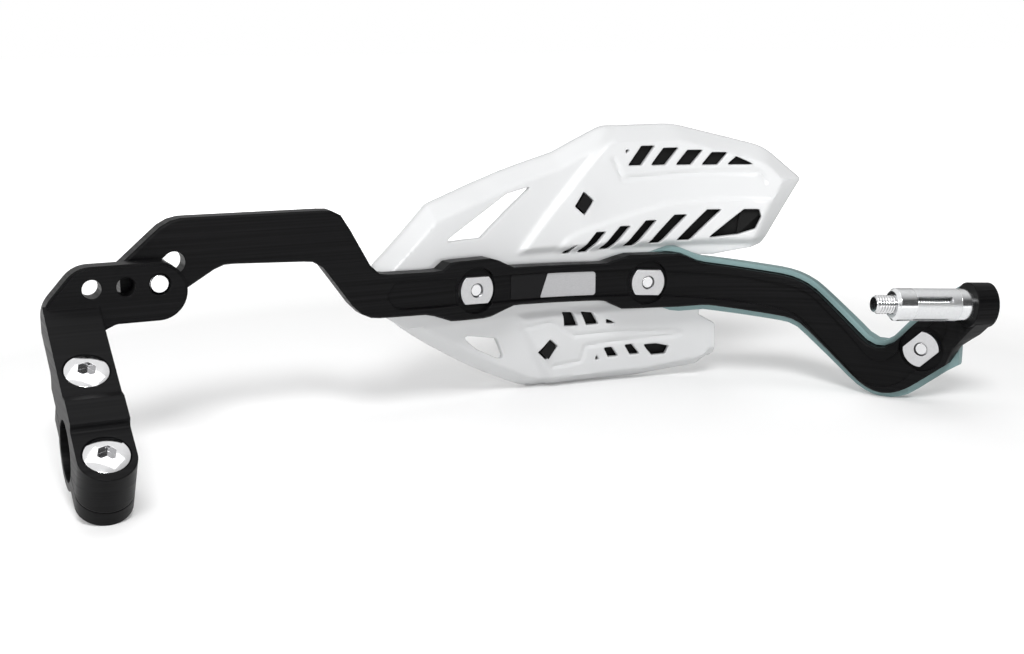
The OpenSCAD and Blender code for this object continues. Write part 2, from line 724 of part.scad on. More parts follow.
// Rear face of the shield: its forward offset at distance s and height z
function edge_out(d) = flange_out * max(0, 1 - d / flange_w);
function upper_w(s, z) =
    shield_w + lean_up * max(0, z - bend_line_up)
        + edge_out(min(lookup(s, SHIELD_TOP) - z,
                       shield_to - s))
        - fold(s, z, [nut_mid_s - 62, mid_z + 9], [nut_mid_s - 16, mid_z + 57])
            * max(0, min(1, (z - bend_line_up - 2.5) / 3));
function lower_w(s, z) =
    shield_w + lean_down * max(0, bend_line_down - z)
        + edge_out(z - lookup(s, SHIELD_BOTTOM))
        - fold(s, z, [nut_in_s + 51, shield_mid - 51], [nut_in_s + 24, shield_mid - 9.5]);
function shield_at(s, z) =
    z > bend_line_up ? upper_w(s, z)
        : z < bend_line_down ? lower_w(s, z) : shield_w;

// Heights of one section of the shield, from its lower to its upper edge
function spread(a, b, n) = [for (i = [0:n - 1]) a + (b - a) * i / n];
function section_heights(s) =
    let (zb = lookup(s, SHIELD_BOTTOM), zt = lookup(s, SHIELD_TOP),
         low = max(zb + 1, min(bend_line_down, zb + flange_w)),
         middle = max(low + 1, bend_line_down),
         upper = min(bend_line_up, zt - 2),
         high = min(zt - 1, max(upper + 1, zt - flange_w)))
        concat(spread(zb, low, 2), spread(low, middle, 4), spread(middle, upper, 3),
               [upper], spread(min(upper + 2.5, (upper + high) / 2), high, 6),
               spread(high, zt, 2), [zt]);

// The wing's outer end slants: sections near it lean inwards below its corner
end_corner_z = lookup(shield_to, SHIELD_TOP);
function slant(s, z) =
    let (k = max(0, min(1, (s - wing_split) / (shield_to - wing_split))),
         drop = max(0, min(31, end_corner_z - z)))
        s - 15 * k * drop / 31;

module shield_sheet(ss, heights, off, t) {
    swept([for (s = ss) let (zs = heights(s), n = len(zs))
        concat([for (z = zs) on_plan(slant(s, z), shield_at(s, z) + off, z)],
               [for (i = [n - 1:-1:0])
                   on_plan(slant(s, zs[i]), shield_at(s, zs[i]) + off + t, zs[i])])]);
}

// A prism through the shield, with its outline given as [s, z] points
module shield_cut(outline) {
    s0 = outline[0][0];
    z0 = outline[0][1];
    on_bar(s0, shield_w - 15, z0) rotate([90, 0, 0]) mirror([0, 0, 1])
        linear_extrude(60) polygon([for (p = outline) [p[0] - s0, p[1] - z0]]);
}

// A slanted vent with its lower left corner at [s, z]
function vent(s, z, w, h, slant) = [[s, z], [s + w, z], [s + w + slant, z + h], [s + slant, z + h]];
up_z = mid_z;
UPPER_VENTS = concat(
    [for (i = [0:3]) vent(nut_mid_s - 4.2 + 11.4 * i, up_z + 45.8 - 0.2 * i, 7, 8.7 - i, 7 - 0.8 * i)],
    [[[nut_mid_s + 41, up_z + 45.2], [nut_mid_s + 53, up_z + 45.2], [nut_mid_s + 45, up_z + 49]],
     [[nut_mid_s - 5, up_z + 51], [nut_mid_s - 5, up_z + 53], [nut_mid_s - 2.8, up_z + 53]]]);
LOWER_VENTS = concat(
    [for (i = [0:4]) vent(nut_mid_s - 29.5 + 9.6 * i + 0.55 * i * i, up_z + 8 + 0.8 * i,
                          5 + 0.4 * i, 9 + 1.2 * i, 8.5 + 1.5 * i)],
    [[[nut_mid_s - 37.5, up_z + 8], [nut_mid_s - 33.5, up_z + 8], [nut_mid_s - 30, up_z + 12.6]],
     [[nut_mid_s + 32.5, up_z + 12], [nut_mid_s + 46, up_z + 13.5], [nut_mid_s + 53.5, up_z + 16],
      [nut_mid_s + 56, up_z + 21.5], [nut_mid_s + 55, up_z + 25], [nut_mid_s + 48.5, up_z + 25]]]);
down_z = shield_mid;
SMALL_VENTS = [
    [[nut_mid_s - 35, down_z - 20], [nut_mid_s - 28, down_z - 20.5],
     [nut_mid_s - 32, down_z - 13.5], [nut_mid_s - 37, down_z - 13]],
    [[nut_mid_s - 24, down_z - 20.5], [nut_mid_s - 18, down_z - 20.5],
     [nut_mid_s - 22, down_z - 14.5], [nut_mid_s - 28, down_z - 13.5]],
    [[nut_mid_s - 14, down_z - 20.5], [nut_mid_s - 9, down_z - 21], [nut_mid_s - 15, down_z - 18]],
    [[nut_mid_s - 16, down_z - 39.3], [nut_mid_s - 14, down_z - 39.3], [nut_mid_s - 16, down_z - 36.4]],
    [[nut_mid_s - 10, down_z - 38.4], [nut_mid_s - 5, down_z - 38.4],
     [nut_mid_s - 9, down_z - 33.3], [nut_mid_s - 13, down_z - 33.3]],
    [[nut_mid_s + 1, down_z - 38.2], [nut_mid_s + 6, down_z - 38.2],
     [nut_mid_s + 1, down_z - 32.6], [nut_mid_s - 3, down_z - 32.6]],
    [[nut_mid_s + 12, down_z - 39.4], [nut_mid_s + 18, down_z - 39.2], [nut_mid_s + 19, down_z - 35],
     [nut_mid_s + 13, down_z - 33.3], [nut_mid_s + 7, down_z - 33.3]]
];
WINDOW_UPPER = [[nut_in_s - 8, up_z + 17.5], [nut_in_s + 2, up_z + 18], [nut_in_s + 11, up_z + 18],
                [nut_in_s + 35, up_z + 36], [nut_in_s + 38, up_z + 38.5], [nut_in_s + 26, up_z + 36]];
WINDOW_LOWER = [[nut_in_s + 1, down_z - 18.5], [nut_in_s + 11, down_z - 26.5],
                [nut_in_s + 29, down_z - 35.5], [nut_in_s + 20.5, down_z - 22.5]];
function diamond(s, z, w, h) = [[s - w, z - h * 0.2], [s, z - h], [s + w, z + h * 0.2], [s, z + h]];
UPPER_CLIP = [nut_mid_s - 26.2, up_z + 30];
LOWER_CLIP = [nut_mid_s - 41, down_z - 31];
clip_w = 4.6;
clip_h = 5.2;

module shield() {
    color("#f2f3f4") difference() {
        union() {
            shield_sheet(stations(shield_from, shield_to),
                function(s) section_heights(s), 0, shield_t);
            on_bar(nut_in_s, 0, channel_z(nut_in_s))
                rod_y(screw_d + 10, front_w, shield_w + 1);
        }
        for (s = [nut_in_s, nut_mid_s]) on_bar(s, 0, channel_z(s)) {
            rod_y(screw_d + hole_gap, 0, 3 * bar_t);
            rod_y(screw_head_d + 1, shield_front, shield_front + 10);
        }
        swept([for (s = NOTCH_AT) let (z0 = lookup(s, NOTCH_BOTTOM), z1 = lookup(s, NOTCH_TOP))
            [on_plan(s, 1, z0), on_plan(s, 1, z1), on_plan(s, 40, z1), on_plan(s, 40, z0)]]);
        for (outline = UPPER_VENTS) shield_cut(outline);
        for (outline = LOWER_VENTS) shield_cut(outline);
        for (outline = SMALL_VENTS) shield_cut(outline);
        shield_cut(WINDOW_UPPER);
        shield_cut(WINDOW_LOWER);
        shield_cut(diamond(UPPER_CLIP[0], UPPER_CLIP[1], clip_w, clip_h));
        shield_cut(diamond(LOWER_CLIP[0], LOWER_CLIP[1], clip_w, clip_h));
    }
}

// A vent cover: a thin black panel on the shield's front, with a clip through
// it. It spans the shield's own section levels from number a to number b.
cover_gap = 0.6;
module vent_cover(from, to, a, b, clip) {
    color("#17181a") {
        shield_sheet(stations(from, to),
            function(s) let (z = section_heights(s)) [for (i = [a:b]) z[i]],
            shield_t + cover_gap, cover_t);
        on_bar(clip[0], 0, 0) rotate([90, 0, 0]) mirror([0, 0, 1])
            translate([0, 0, shield_at(clip[0], clip[1]) - 1])
                linear_extrude(shield_t + cover_gap + 1.6)
                    polygon(diamond(0, clip[1], clip_w - 0.8, clip_h - 0.8));
    }
}
module vent_cover_upper() {
    vent_cover(shield_from + 22 * step, shield_from + 47 * step, 9, 16, UPPER_CLIP);
}
module vent_cover_lower() {
    vent_cover(shield_from + 20 * step, shield_from + 38 * step, 2, 6, LOWER_CLIP);
}

clamp_arm();
clamp_cap();
clamp_bolt_front();
clamp_bolt_rear();
joint_screw();
joint_washer();
guard_bar();
nut_plate_inner();
nut_plate_middle();
nut_plate_outer();
shield_screw_inner();
shield_screw_middle();
strip_screw_outer();
label();
abrasion_strip();
expander_bolt();
expander_collar();
expander_sleeve();
expander_cone_nut();
shield();
vent_cover_upper();
vent_cover_lower();
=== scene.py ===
# %% [markdown]
# # A motorcycle hand guard
# The real object is an aluminium bar that is bent round the rider's hand. A
# clamp holds its inner end on the handlebar, an expander goes into the
# handlebar's open end, and a moulded white shield with black vent covers sits
# on its front. The CAD model gives the frame and most of the solids. This
# lesson adds what a CAD solid lacks: the shield's moulded skin, the screw
# threads, soft edges and the finishes.

# %% Load the frame
import math

import bmesh
import bpy
import numpy as np
from mathutils import Matrix, Vector
from mathutils.geometry import delaunay_2d_cdt


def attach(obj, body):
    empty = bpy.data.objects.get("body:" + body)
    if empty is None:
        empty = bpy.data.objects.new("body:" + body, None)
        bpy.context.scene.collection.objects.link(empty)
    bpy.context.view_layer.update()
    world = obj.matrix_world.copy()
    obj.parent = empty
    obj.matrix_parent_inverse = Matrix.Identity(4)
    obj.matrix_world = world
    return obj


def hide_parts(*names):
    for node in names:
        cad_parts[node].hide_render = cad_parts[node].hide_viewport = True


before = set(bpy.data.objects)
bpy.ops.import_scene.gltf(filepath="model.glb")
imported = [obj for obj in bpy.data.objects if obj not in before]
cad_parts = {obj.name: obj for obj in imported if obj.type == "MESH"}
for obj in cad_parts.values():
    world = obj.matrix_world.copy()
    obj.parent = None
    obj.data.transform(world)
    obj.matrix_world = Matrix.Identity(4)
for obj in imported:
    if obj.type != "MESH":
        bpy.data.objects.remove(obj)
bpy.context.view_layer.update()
scene = bpy.context.scene
MM = 0.001
print("nodes:", len(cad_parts))

# %% [markdown]
# ## The photograph's camera
# The photograph was taken with a normal lens from the rider's side, a little
# above the part. A camera is a point, a heading and a tilt, so five numbers
# and the lens say all of it. They came from fitting the clamp's known bore
# first, and then the outlines of the whole part.

# %% Camera
CAMERA_AT = Vector((-74.8, -494.7, 146.7)) * MM
HEADING = math.radians(25.6)
TILT = math.radians(12.2)

camera_data = bpy.data.cameras.new("camera")
camera_data.lens = 50
camera_data.sensor_width = 36
camera = bpy.data.objects.new("camera", camera_data)
scene.collection.objects.link(camera)
look = Vector((math.cos(TILT) * math.sin(HEADING),
               math.cos(TILT) * math.cos(HEADING),
               -math.sin(TILT)))
camera.location = CAMERA_AT
camera.rotation_mode = "QUATERNION"
camera.rotation_quaternion = look.to_track_quat("-Z", "Y")
scene.camera = camera
print("camera looks along", [round(v, 3) for v in look])

# %% [markdown]
# ## The line that the bar follows
# Seen from above, the bar runs straight, bends outwards a little and then
# swings back round the hand. Shapes on it are easier to write in their own
# coordinates: the distance s along the bar, the offset w forwards from its
# middle, and the height z. One helper turns those into the frame's metres.

# %% Plan of the bar
PLAN = [(95, 0), (30, 8), (35, 0), (56, -14), (16, 0),
        (106, -52), (27.8, 0), (12.4, -44.5), (16.2, 0)]
PLAN_START = (32.5, 47.0)
PLAN_STEP = 0.25


def plan_table():
    """Distance, x, y and heading, at each step along the bar."""
    x, y, heading, s = *PLAN_START, 0.0, 0.0
    rows = [(s, x, y, heading)]
    for length, turn in PLAN:
        count = int(round(length / PLAN_STEP))
        step = length / count
        for _ in range(count):
            heading += math.radians(turn) / count / 2
            x += step * math.cos(heading)
            y += step * math.sin(heading)
            heading += math.radians(turn) / count / 2
            s += step
            rows.append((s, x, y, heading))
    return np.array(rows)


PLAN_ROWS = plan_table()


def on_plan(s, w, z):
    """Points in metres, from distances, forward offsets and heights in mm."""
    x, y, heading = (np.interp(s, PLAN_ROWS[:, 0], PLAN_ROWS[:, i]) for i in (1, 2, 3))
    return np.stack([x - w * np.sin(heading), y + w * np.cos(heading),
                     z + 0 * x], axis=-1) * MM


def bar_matrix(s, w, z):
    """The bar's own frame at s: X along it, Y forwards, Z up."""
    heading = float(np.interp(s, PLAN_ROWS[:, 0], PLAN_ROWS[:, 3]))
    place = Vector(on_plan(np.array(s), np.array(w), np.array(z)))
    return Matrix.Translation(place) @ Matrix.Rotation(heading, 4, "Z")


# Places along the bar, and their heights
NUT_IN, NUT_MID, NUT_OUT, BOSS = 135.0, 223.0, 354.4, 379.4
NUT_IN_Z, NUT_MID_Z, NUT_OUT_Z, BOSS_Z = 34.4, 30.4, 3.2, 26.1
MID_Z = 36.0
BAR_T, CHANNEL_D = 9.0, 1.6
FLOOR_Z = -21.8
print("bar ends at", [round(v, 4) for v in on_plan(np.array(BOSS), 0, BOSS_Z)])

# %% [markdown]
# ## Finishes
# A material here is a small network of nodes. Patterns read the Object
# coordinates, which are metres in the same frame for every piece, so a grain
# of 0.2 mm is a noise scale of about 5000. Each helper adds one thing: a
# noise, a new range for it, a colour that varies with it, a bump, or softened
# edges.


# %% Material helpers
def new_material(name, color, roughness, metallic=0.0):
    """A material with its shader's plain values set, and its parts."""
    made = bpy.data.materials.new(name)
    made.use_nodes = True
    made.diffuse_color = (*color, 1)
    shader = made.node_tree.nodes["Principled BSDF"]
    shader.inputs["Base Color"].default_value = (*color, 1)
    shader.inputs["Roughness"].default_value = roughness
    shader.inputs["Metallic"].default_value = metallic
    return made, made.node_tree, shader


def noise(tree, scale, detail=2.0, squeeze=(1, 1, 1)):
    """A noise on Object coordinates, finer along an axis with a large squeeze."""
    nodes, links = tree.nodes, tree.links
    where = nodes.new("ShaderNodeTexCoord")
    mapping = nodes.new("ShaderNodeMapping")
    mapping.inputs["Scale"].default_value = squeeze
    made = nodes.new("ShaderNodeTexNoise")
    made.inputs["Scale"].default_value = scale
    made.inputs["Detail"].default_value = detail
    links.new(where.outputs["Object"], mapping.inputs["Vector"])
    links.new(mapping.outputs["Vector"], made.inputs["Vector"])
    return made.outputs["Fac"]


def remap(tree, value, low, high, start=0.3, end=0.7):
    """A number from low to high as value goes from start to end."""
    made = tree.nodes.new("ShaderNodeMapRange")
    made.inputs["From Min"].default_value = start
    made.inputs["From Max"].default_value = end
    made.inputs["To Min"].default_value = low
    made.inputs["To Max"].default_value = high
    tree.links.new(value, made.inputs["Value"])
    return made.outputs["Result"]


def vary_color(tree, shader, value, dark, light, start=0.3, end=0.7):
    """A colour from dark to light as value rises."""
    ramp = tree.nodes.new("ShaderNodeValToRGB")
    ramp.color_ramp.elements[0].position = start
    ramp.color_ramp.elements[0].color = (*dark, 1)
    ramp.color_ramp.elements[1].position = end
    ramp.color_ramp.elements[1].color = (*light, 1)
    tree.links.new(value, ramp.inputs["Fac"])
    tree.links.new(ramp.outputs["Color"], shader.inputs["Base Color"])


def bump(tree, shader, value, strength, distance, under=None):
    """A fine relief from value, laid on the relief in under, if any."""
    made = tree.nodes.new("ShaderNodeBump")
    made.inputs["Strength"].default_value = strength
    made.inputs["Distance"].default_value = distance
    tree.links.new(value, made.inputs["Height"])
    if under is not None:
        tree.links.new(under, made.inputs["Normal"])
    tree.links.new(made.outputs["Normal"], shader.inputs["Normal"])
    return made.outputs["Normal"]


def soft_edges(tree, radius):
    """A normal that rounds sharp edges off by radius, in metres."""
    made = tree.nodes.new("ShaderNodeBevel")
    made.samples = 6
    made.inputs["Radius"].default_value = radius
    return made.outputs["Normal"]


# %% [markdown]
# ### Black anodised alloy
# The bar, arm and cap are machined from plate and then anodised. The satin
# black keeps the cutter's long faint streaks, and the anodised skin has a
# grain that only shows in the highlights. Streaks and grain are both noises:
# the first is squeezed in height, the second is fine all round.

# %% Black alloy
STREAKS = (9, 9, 1400)
SKIN_GRAIN = 7000
black_alloy, tree, shader = new_material("black_alloy", (0.010, 0.010, 0.011), 0.36)
shader.inputs["Specular IOR Level"].default_value = 0.07
streaks = noise(tree, 1.0, 3.0, STREAKS)
skin = noise(tree, SKIN_GRAIN, 1.0)
vary_color(tree, shader, streaks, (0.0018, 0.0018, 0.002), (0.0062, 0.0062, 0.0066))
tree.links.new(remap(tree, streaks, 0.33, 0.47), shader.inputs["Roughness"])
edges = soft_edges(tree, 0.0007)
relief = bump(tree, shader, skin, 0.10, 0.00004, edges)
bump(tree, shader, streaks, 0.10, 0.00006, relief)

# %% [markdown]
# ### Plated and machined metals
# The screws are bright plated steel, polished enough to mirror the room. The
# nut plates are satin. The expander is turned alloy with a blasted sleeve.
# All are the same network with other numbers, in this order: name, colour,
# smoothest and roughest spot, scale of the grain, height of its relief in mm.


# %% Metals
def metal(name, color, smooth, rough, grain, relief_mm):
    """A bare metal with a roughness that varies, and a fine relief."""
    made, tree, shader = new_material(name, color, smooth, 1.0)
    wear = noise(tree, grain, 3.0)
    tree.links.new(remap(tree, wear, smooth, rough), shader.inputs["Roughness"])
    vary_color(tree, shader, noise(tree, grain * 0.3, 2.0),
               [c * 0.93 for c in color], color)
    edges = soft_edges(tree, 0.00025)
    bump(tree, shader, wear, 0.25, relief_mm * MM, edges)
    return made


bright_steel = metal("bright_steel", (0.80, 0.80, 0.81), 0.05, 0.13, 900, 0.006)
satin_steel = metal("satin_steel", (0.62, 0.62, 0.63), 0.27, 0.38, 3500, 0.02)
bright_alloy = metal("bright_alloy", (0.83, 0.84, 0.85), 0.13, 0.24, 2500, 0.01)
blasted_alloy = metal("blasted_alloy", (0.80, 0.81, 0.82), 0.34, 0.48, 4500, 0.05)

# %% [markdown]
# ### Moulded plastics
# The shield is injection moulded in a white with a low gloss, the vent covers
# in black with a coarse moulded grain, and the strip in a grey green that
# scuffs. Their relief is shallow, so it breaks up the reflections and leaves
# the colour even. A faint cloud, about 40 mm wide, varies colour and gloss.


# %% Plastics
CLOUD_SCALE = 25


def plastic(name, dark, light, smooth, rough, grain, relief_mm, gloss=0.4):
    """A moulded plastic: a near even colour and a moulded grain."""
    made, tree, shader = new_material(name, light, smooth)
    shader.inputs["Specular IOR Level"].default_value = gloss
    cloud = noise(tree, CLOUD_SCALE, 1.0)
    vary_color(tree, shader, cloud, dark, light, 0.0, 1.0)
    tree.links.new(remap(tree, cloud, smooth, rough, 0.0, 1.0), shader.inputs["Roughness"])
    bump(tree, shader, noise(tree, grain, 1.0), 0.3, relief_mm * MM)
    return made


white_plastic = plastic("white_plastic", (0.515, 0.520, 0.525), (0.545, 0.550, 0.555),
                        0.26, 0.34, 2200, 0.006)
black_plastic = plastic("black_plastic", (0.004, 0.004, 0.004), (0.008, 0.008, 0.008),
                        0.42, 0.55, 1500, 0.12, 0.12)
grey_plastic = plastic("grey_plastic", (0.150, 0.230, 0.232), (0.180, 0.270, 0.272),
                       0.36, 0.48, 1800, 0.02)

# %% [markdown]
# ## Finished copies of the CAD solids
# A CAD node comes in as loose triangles, which shade flat. A copy with its
# doubles merged can be shaded smooth, with the edges over a set angle kept
# sharp. The copy then stands for the node, so the CAD mesh itself is left
# alone.


# %% Finished copies
# Largest smooth angle of a CAD copy and of a new piece, and the distance in
# metres within which a copy's doubles merge
CAD_ANGLE, SKIN_ANGLE = 28.0, 35.0
CAD_MERGE = 2e-6


def shade(bm, angle):
    """Smooth faces, with the edges over an angle in degrees kept sharp."""
    limit = math.radians(angle)
    for edge in bm.edges:
        edge.smooth = len(edge.link_faces) == 2 and edge.calc_face_angle(0) < limit
    for face in bm.faces:
        face.smooth = True
        face.material_index = 0


def add_piece(name, mesh, material):
    """An object for a mesh in metres, with its material and body."""
    mesh.materials.clear()
    mesh.materials.append(material)
    made = bpy.data.objects.new(name, mesh)
    scene.collection.objects.link(made)
    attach(made, "root")
    return made


def finished(node, material):
    """A merged and smooth copy of a CAD node, which it replaces."""
    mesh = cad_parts[node].data.copy()
    bm = bmesh.new()
    bm.from_mesh(mesh)
    bmesh.ops.remove_doubles(bm, verts=bm.verts, dist=CAD_MERGE)
    bmesh.ops.dissolve_degenerate(bm, edges=bm.edges, dist=1e-6)
    shade(bm, CAD_ANGLE)
    bm.to_mesh(mesh)
    bm.free()
    made = add_piece(node + "_finish", mesh, material)
    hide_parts(node)
    return made


FINISHED = [("guard_bar", black_alloy, "black_alloy"),
            ("clamp_arm", black_alloy, "black_alloy"),
            ("clamp_cap", black_alloy, "black_alloy"),
            ("abrasion_strip", grey_plastic, "grey_plastic"),
            ("vent_cover_upper", black_plastic, "black_plastic"),
            ("vent_cover_lower", black_plastic, "black_plastic")]
for node, material, slot in FINISHED:
    made = finished(node, material)
    print(made.name, len(made.data.polygons), "faces")

# %% CAD solids that only take a finish
KEPT = [(bright_steel, ("clamp_bolt_front", "clamp_bolt_rear", "joint_washer")),
        (satin_steel, ("nut_plate_inner", "nut_plate_middle", "nut_plate_outer")),
        (bright_alloy, ("expander_collar", "expander_cone_nut")),
        (blasted_alloy, ("expander_sleeve",))]
for material, nodes in KEPT:
    for node in nodes:
        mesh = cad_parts[node].data
        mesh.materials.clear()
        mesh.materials.append(material)
    print(material.name, "on", *nodes)

# %% [markdown]
# ## The shield
# The shield is one moulding, 3 mm thick, with two wings that fold away from
# the bar, a flared rim, a diagonal fold, moulded grooves and rows of slanted
# vents. Its outline and holes are flat polygons in s and z, so they can be
# filled with a fine triangle mesh, and one function gives each point its
# forward offset. That keeps every detail in plain numbers.


# %% Outline helpers
def rounded(points, closed=False, steps=6):
    """Points of a line through (s, z, radius) corners, with them rounded."""
    out, n = [], len(points)
    for i, (s, z, r) in enumerate(points):
        inner = closed or 0 < i < n - 1
        if not inner or r == 0:
            out.append((s, z))
            continue
        b = np.array((s, z))
        a = np.array(points[i - 1][:2]) - b
        c = np.array(points[(i + 1) % n][:2]) - b
        la, lc = np.linalg.norm(a), np.linalg.norm(c)
        u, v = a / la, c / lc
        half = math.acos(max(-1.0, min(1.0, float(u @ v)))) / 2
        t = min(r / math.tan(half), 0.49 * la, 0.49 * lc)
        for k in np.linspace(0, 1, steps + 1):
            out.append(tuple(b + t * (u * (1 - k) ** 2 + v * k ** 2)))
    return np.array(out)


def vent(s, z, w, h, lean):
    """A slanted vent with its lower left corner at s, z."""
    return [(s, z), (s + w, z), (s + w + lean, z + h), (s + lean, z + h)]


def diamond(s, z, w, h):
    """The hole of a cover's clip."""
    return [(s - w, z - h * 0.2), (s, z - h), (s + w, z + h * 0.2), (s, z + h)]


def circle(s, z, radius, count=20):
    """A round hole."""
    turns = np.linspace(0, 2 * math.pi, count, endpoint=False)
    return [(s + radius * math.cos(a), z + radius * math.sin(a)) for a in turns]


# %% [markdown]
# ### Outline of the shield
# The upper edge climbs from the bar to the high wing and comes down to its
# outer end. The lower edge goes the other way. Between the wings a notch lets
# the bar bend back to the handlebar's end.

# %% Outline
# Reach of the upper and the lower wing from the bar's middle
UP, DOWN = 69.0, 52.3
SHIELD_FROM, TOP_TO, BOTTOM_TO = 95, 294.4, 268.3
SCREW_HOLE_R = 3.3
TOP = rounded([(95, MID_Z + 9.5, 0), (124, NUT_MID_Z + 0.565 * UP, 6),
               (163, NUT_MID_Z + 0.74 * UP, 20), (188, NUT_MID_Z + 0.84 * UP, 12),
               (211, NUT_MID_Z + UP, 14), (243, NUT_MID_Z + 1.005 * UP, 30),
               (280, NUT_MID_Z + 0.85 * UP, 20), (295, NUT_MID_Z + 0.64 * UP, 0)], steps=8)
BOTTOM = rounded([(95, MID_Z - 10, 0), (115, NUT_MID_Z - 0.33 * DOWN, 12),
                  (145, NUT_MID_Z - 0.66 * DOWN, 40), (180, NUT_MID_Z - DOWN, 25),
                  (233, NUT_MID_Z - 0.985 * DOWN, 30), (259, NUT_MID_Z - 0.90 * DOWN, 6),
                  (265, NUT_MID_Z - 0.81 * DOWN, 0)], steps=8)
WING_SPLIT, WING_END = 253.0, 295.0
END_CORNER_Z = TOP[-1][1]
SLANT, SLANT_DROP = 15.0, 31.0


def edge_z(line, s):
    """Height of an edge line at s."""
    return np.interp(s, line[:, 0], line[:, 1])


def slant_share(z):
    """How far the wing's end leans in at height z, from 0 to 1."""
    return np.clip(END_CORNER_Z - z, 0, SLANT_DROP) / SLANT_DROP


def slanted(s, z):
    """Where a point of the straight wing lies on the slanted one."""
    k = np.clip((s - WING_SPLIT) / (WING_END - WING_SPLIT), 0, 1)
    return s - SLANT * k * slant_share(z)


def straightened(s, z):
    """The reverse of slanted."""
    a = SLANT * slant_share(z) / (WING_END - WING_SPLIT)
    return np.where(s > WING_SPLIT, (s - WING_SPLIT * a) / (1 - a), s)


bottom_s = np.linspace(BOTTOM_TO, SHIELD_FROM + 1, 110)
bottom_z = edge_z(BOTTOM, bottom_s)
top_s = np.linspace(SHIELD_FROM, TOP_TO, 130)
OUTLINE = np.vstack([
    np.stack([top_s, edge_z(TOP, top_s)], axis=1),
    rounded([(TOP_TO, 76.0, 0), (295, 74.0, 1.5), (280.2, 44.0, 3.0), (259, 40, 4),
             (253, 40, 1), (253, 11.4, 1), (261, 6.4, 2.5), (262.9, -11.9, 3.5),
             (255.0, -16.4, 0)])[1:-1],
    np.stack([slanted(bottom_s, bottom_z), bottom_z], axis=1)[4:],
    [(SHIELD_FROM, MID_Z - 10)]])

# %% Vents, clip holes and windows
CLIP_UP, CLIP_DOWN = (196.8, 66), (182, -0.6)
HOLES = [vent(218.8 + 11.4 * i, 81.8 - 0.2 * i, 7, 8.7 - i, 7 - 0.8 * i) for i in range(4)]
HOLES += [vent(193.5 + 9.6 * i + 0.55 * i * i, 44 + 0.8 * i, 5 + 0.4 * i,
               9 + 1.2 * i, 8.5 + 1.5 * i) for i in range(5)]
HOLES += [
    [(264, 81.2), (276, 81.2), (268, 85)],
    [(218, 87), (218, 89), (220.2, 89)],
    [(185.5, 44), (189.5, 44), (193, 48.6)],
    [(255.5, 48), (269, 49.5), (276.5, 52), (279, 57.5), (278, 61), (271.5, 61)],
    [(188, 10.4), (195, 9.9), (191, 16.9), (186, 17.4)],
    [(199, 9.9), (205, 9.9), (201, 15.9), (195, 16.9)],
    [(209, 9.9), (214, 9.4), (208, 12.4)],
    [(207, -8.9), (209, -8.9), (207, -6.0)],
    [(213, -8.0), (218, -8.0), (214, -2.9), (210, -2.9)],
    [(224, -7.8), (229, -7.8), (224, -2.2), (220, -2.2)],
    [(235, -9.0), (241, -8.8), (242, -4.6), (236, -2.9), (230, -2.9)],
    diamond(*CLIP_UP, 4.6, 5.2), diamond(*CLIP_DOWN, 4.6, 5.2)]
WINDOWS = [
    [(127, 53.5), (137, 54), (146, 54), (170, 72), (173, 74.5), (161, 72)],
    [(136, 11.9), (146, 3.9), (164, -5.1), (155.5, 7.9)]]
HOLES = [rounded([(*p, 0.5) for p in hole], True, 2) for hole in HOLES]
HOLES += [rounded([(*p, 2.0) for p in hole], True, 4) for hole in WINDOWS]
HOLES += [np.array(circle(s, z, SCREW_HOLE_R))
          for s, z in ((NUT_IN, NUT_IN_Z), (NUT_MID, NUT_MID_Z))]
print("shield outline:", len(OUTLINE), "points, holes:", len(HOLES))

# %% [markdown]
# ### Form of the shield
# The function below is read as a list of moulded features: a flat band on the
# bar, two leaning wings, a rim that flares forwards, a fold that steps the
# outer panel towards the rider, a ledge, low domes round the clip holes and
# shallow grooves. Depths and widths are in mm. A lean is forward offset per mm
# of height. Less offset is nearer the rider.


# %% Distances to lines
def distance_to(points, line, closed=False):
    """Distance of each point to a polyline, in mm."""
    ends = np.vstack([line, line[:1]]) if closed else np.asarray(line, float)
    best = np.full(len(points), 1e9)
    for a, b in zip(ends[:-1], ends[1:]):
        along = b - a
        length = float(along @ along)
        if length < 1e-12:
            continue
        t = np.clip((points - a) @ along / length, 0, 1)
        away = points - a - t[:, None] * along
        best = np.minimum(best, np.hypot(away[:, 0], away[:, 1]))
    return best


def smooth(t):
    """0 to 1 with soft ends."""
    t = np.clip(t, 0, 1)
    return t * t * (3 - 2 * t)


# %% Form
SHIELD_W, SHIELD_T = 8.12, 3.0
BEND_UP, BEND_DOWN = 42.5, 17.9
LEAN_UP, LEAN_DOWN = 0.12, 0.4
FLARE, RIM_UP, RIM_DOWN = 7.0, 7.0, 5.5
FOLD_DEPTH, FOLD_WIDTH = 2.5, 5
FOLD_UP, FOLD_DOWN = ((161, 45), (207, 93)), ((186, -20.6), (159, 20.9))
DOME_UP, DOME_DOWN = (1.1, 60), (0.9, 50)
GROOVE_DEPTH, GROOVE_WIDTH = 0.85, 1.0
GROOVES = [[(212, 85), (216, 76), (253, 78), (278, 78), (281, 74)],
           [(169, 12), (182, 13), (194, 5), (217, 5), (243, 3), (246, 2)],
           [(187, -10), (200, -9), (201, -1), (215, 0), (244, 1)]]
LEDGE = np.array([(181, 46), (188, 52), (196, 55), (217, 60.5), (237, 65), (261, 66.5), (283, 66)])
LEDGE_DEPTH, LEDGE_WIDTH, LEDGE_FROM = 1.3, 1.8, 181
CREASE_Z, CREASE_S, CREASE_LEAN = 70.0, 158, 0.10


def fold_share(s, z, low, high):
    """0 inside a fold that runs from low to high, and 1 outboard of it."""
    at = low[0] + (z - low[1]) / (high[1] - low[1]) * (high[0] - low[0])
    return smooth((s - at) / FOLD_WIDTH)


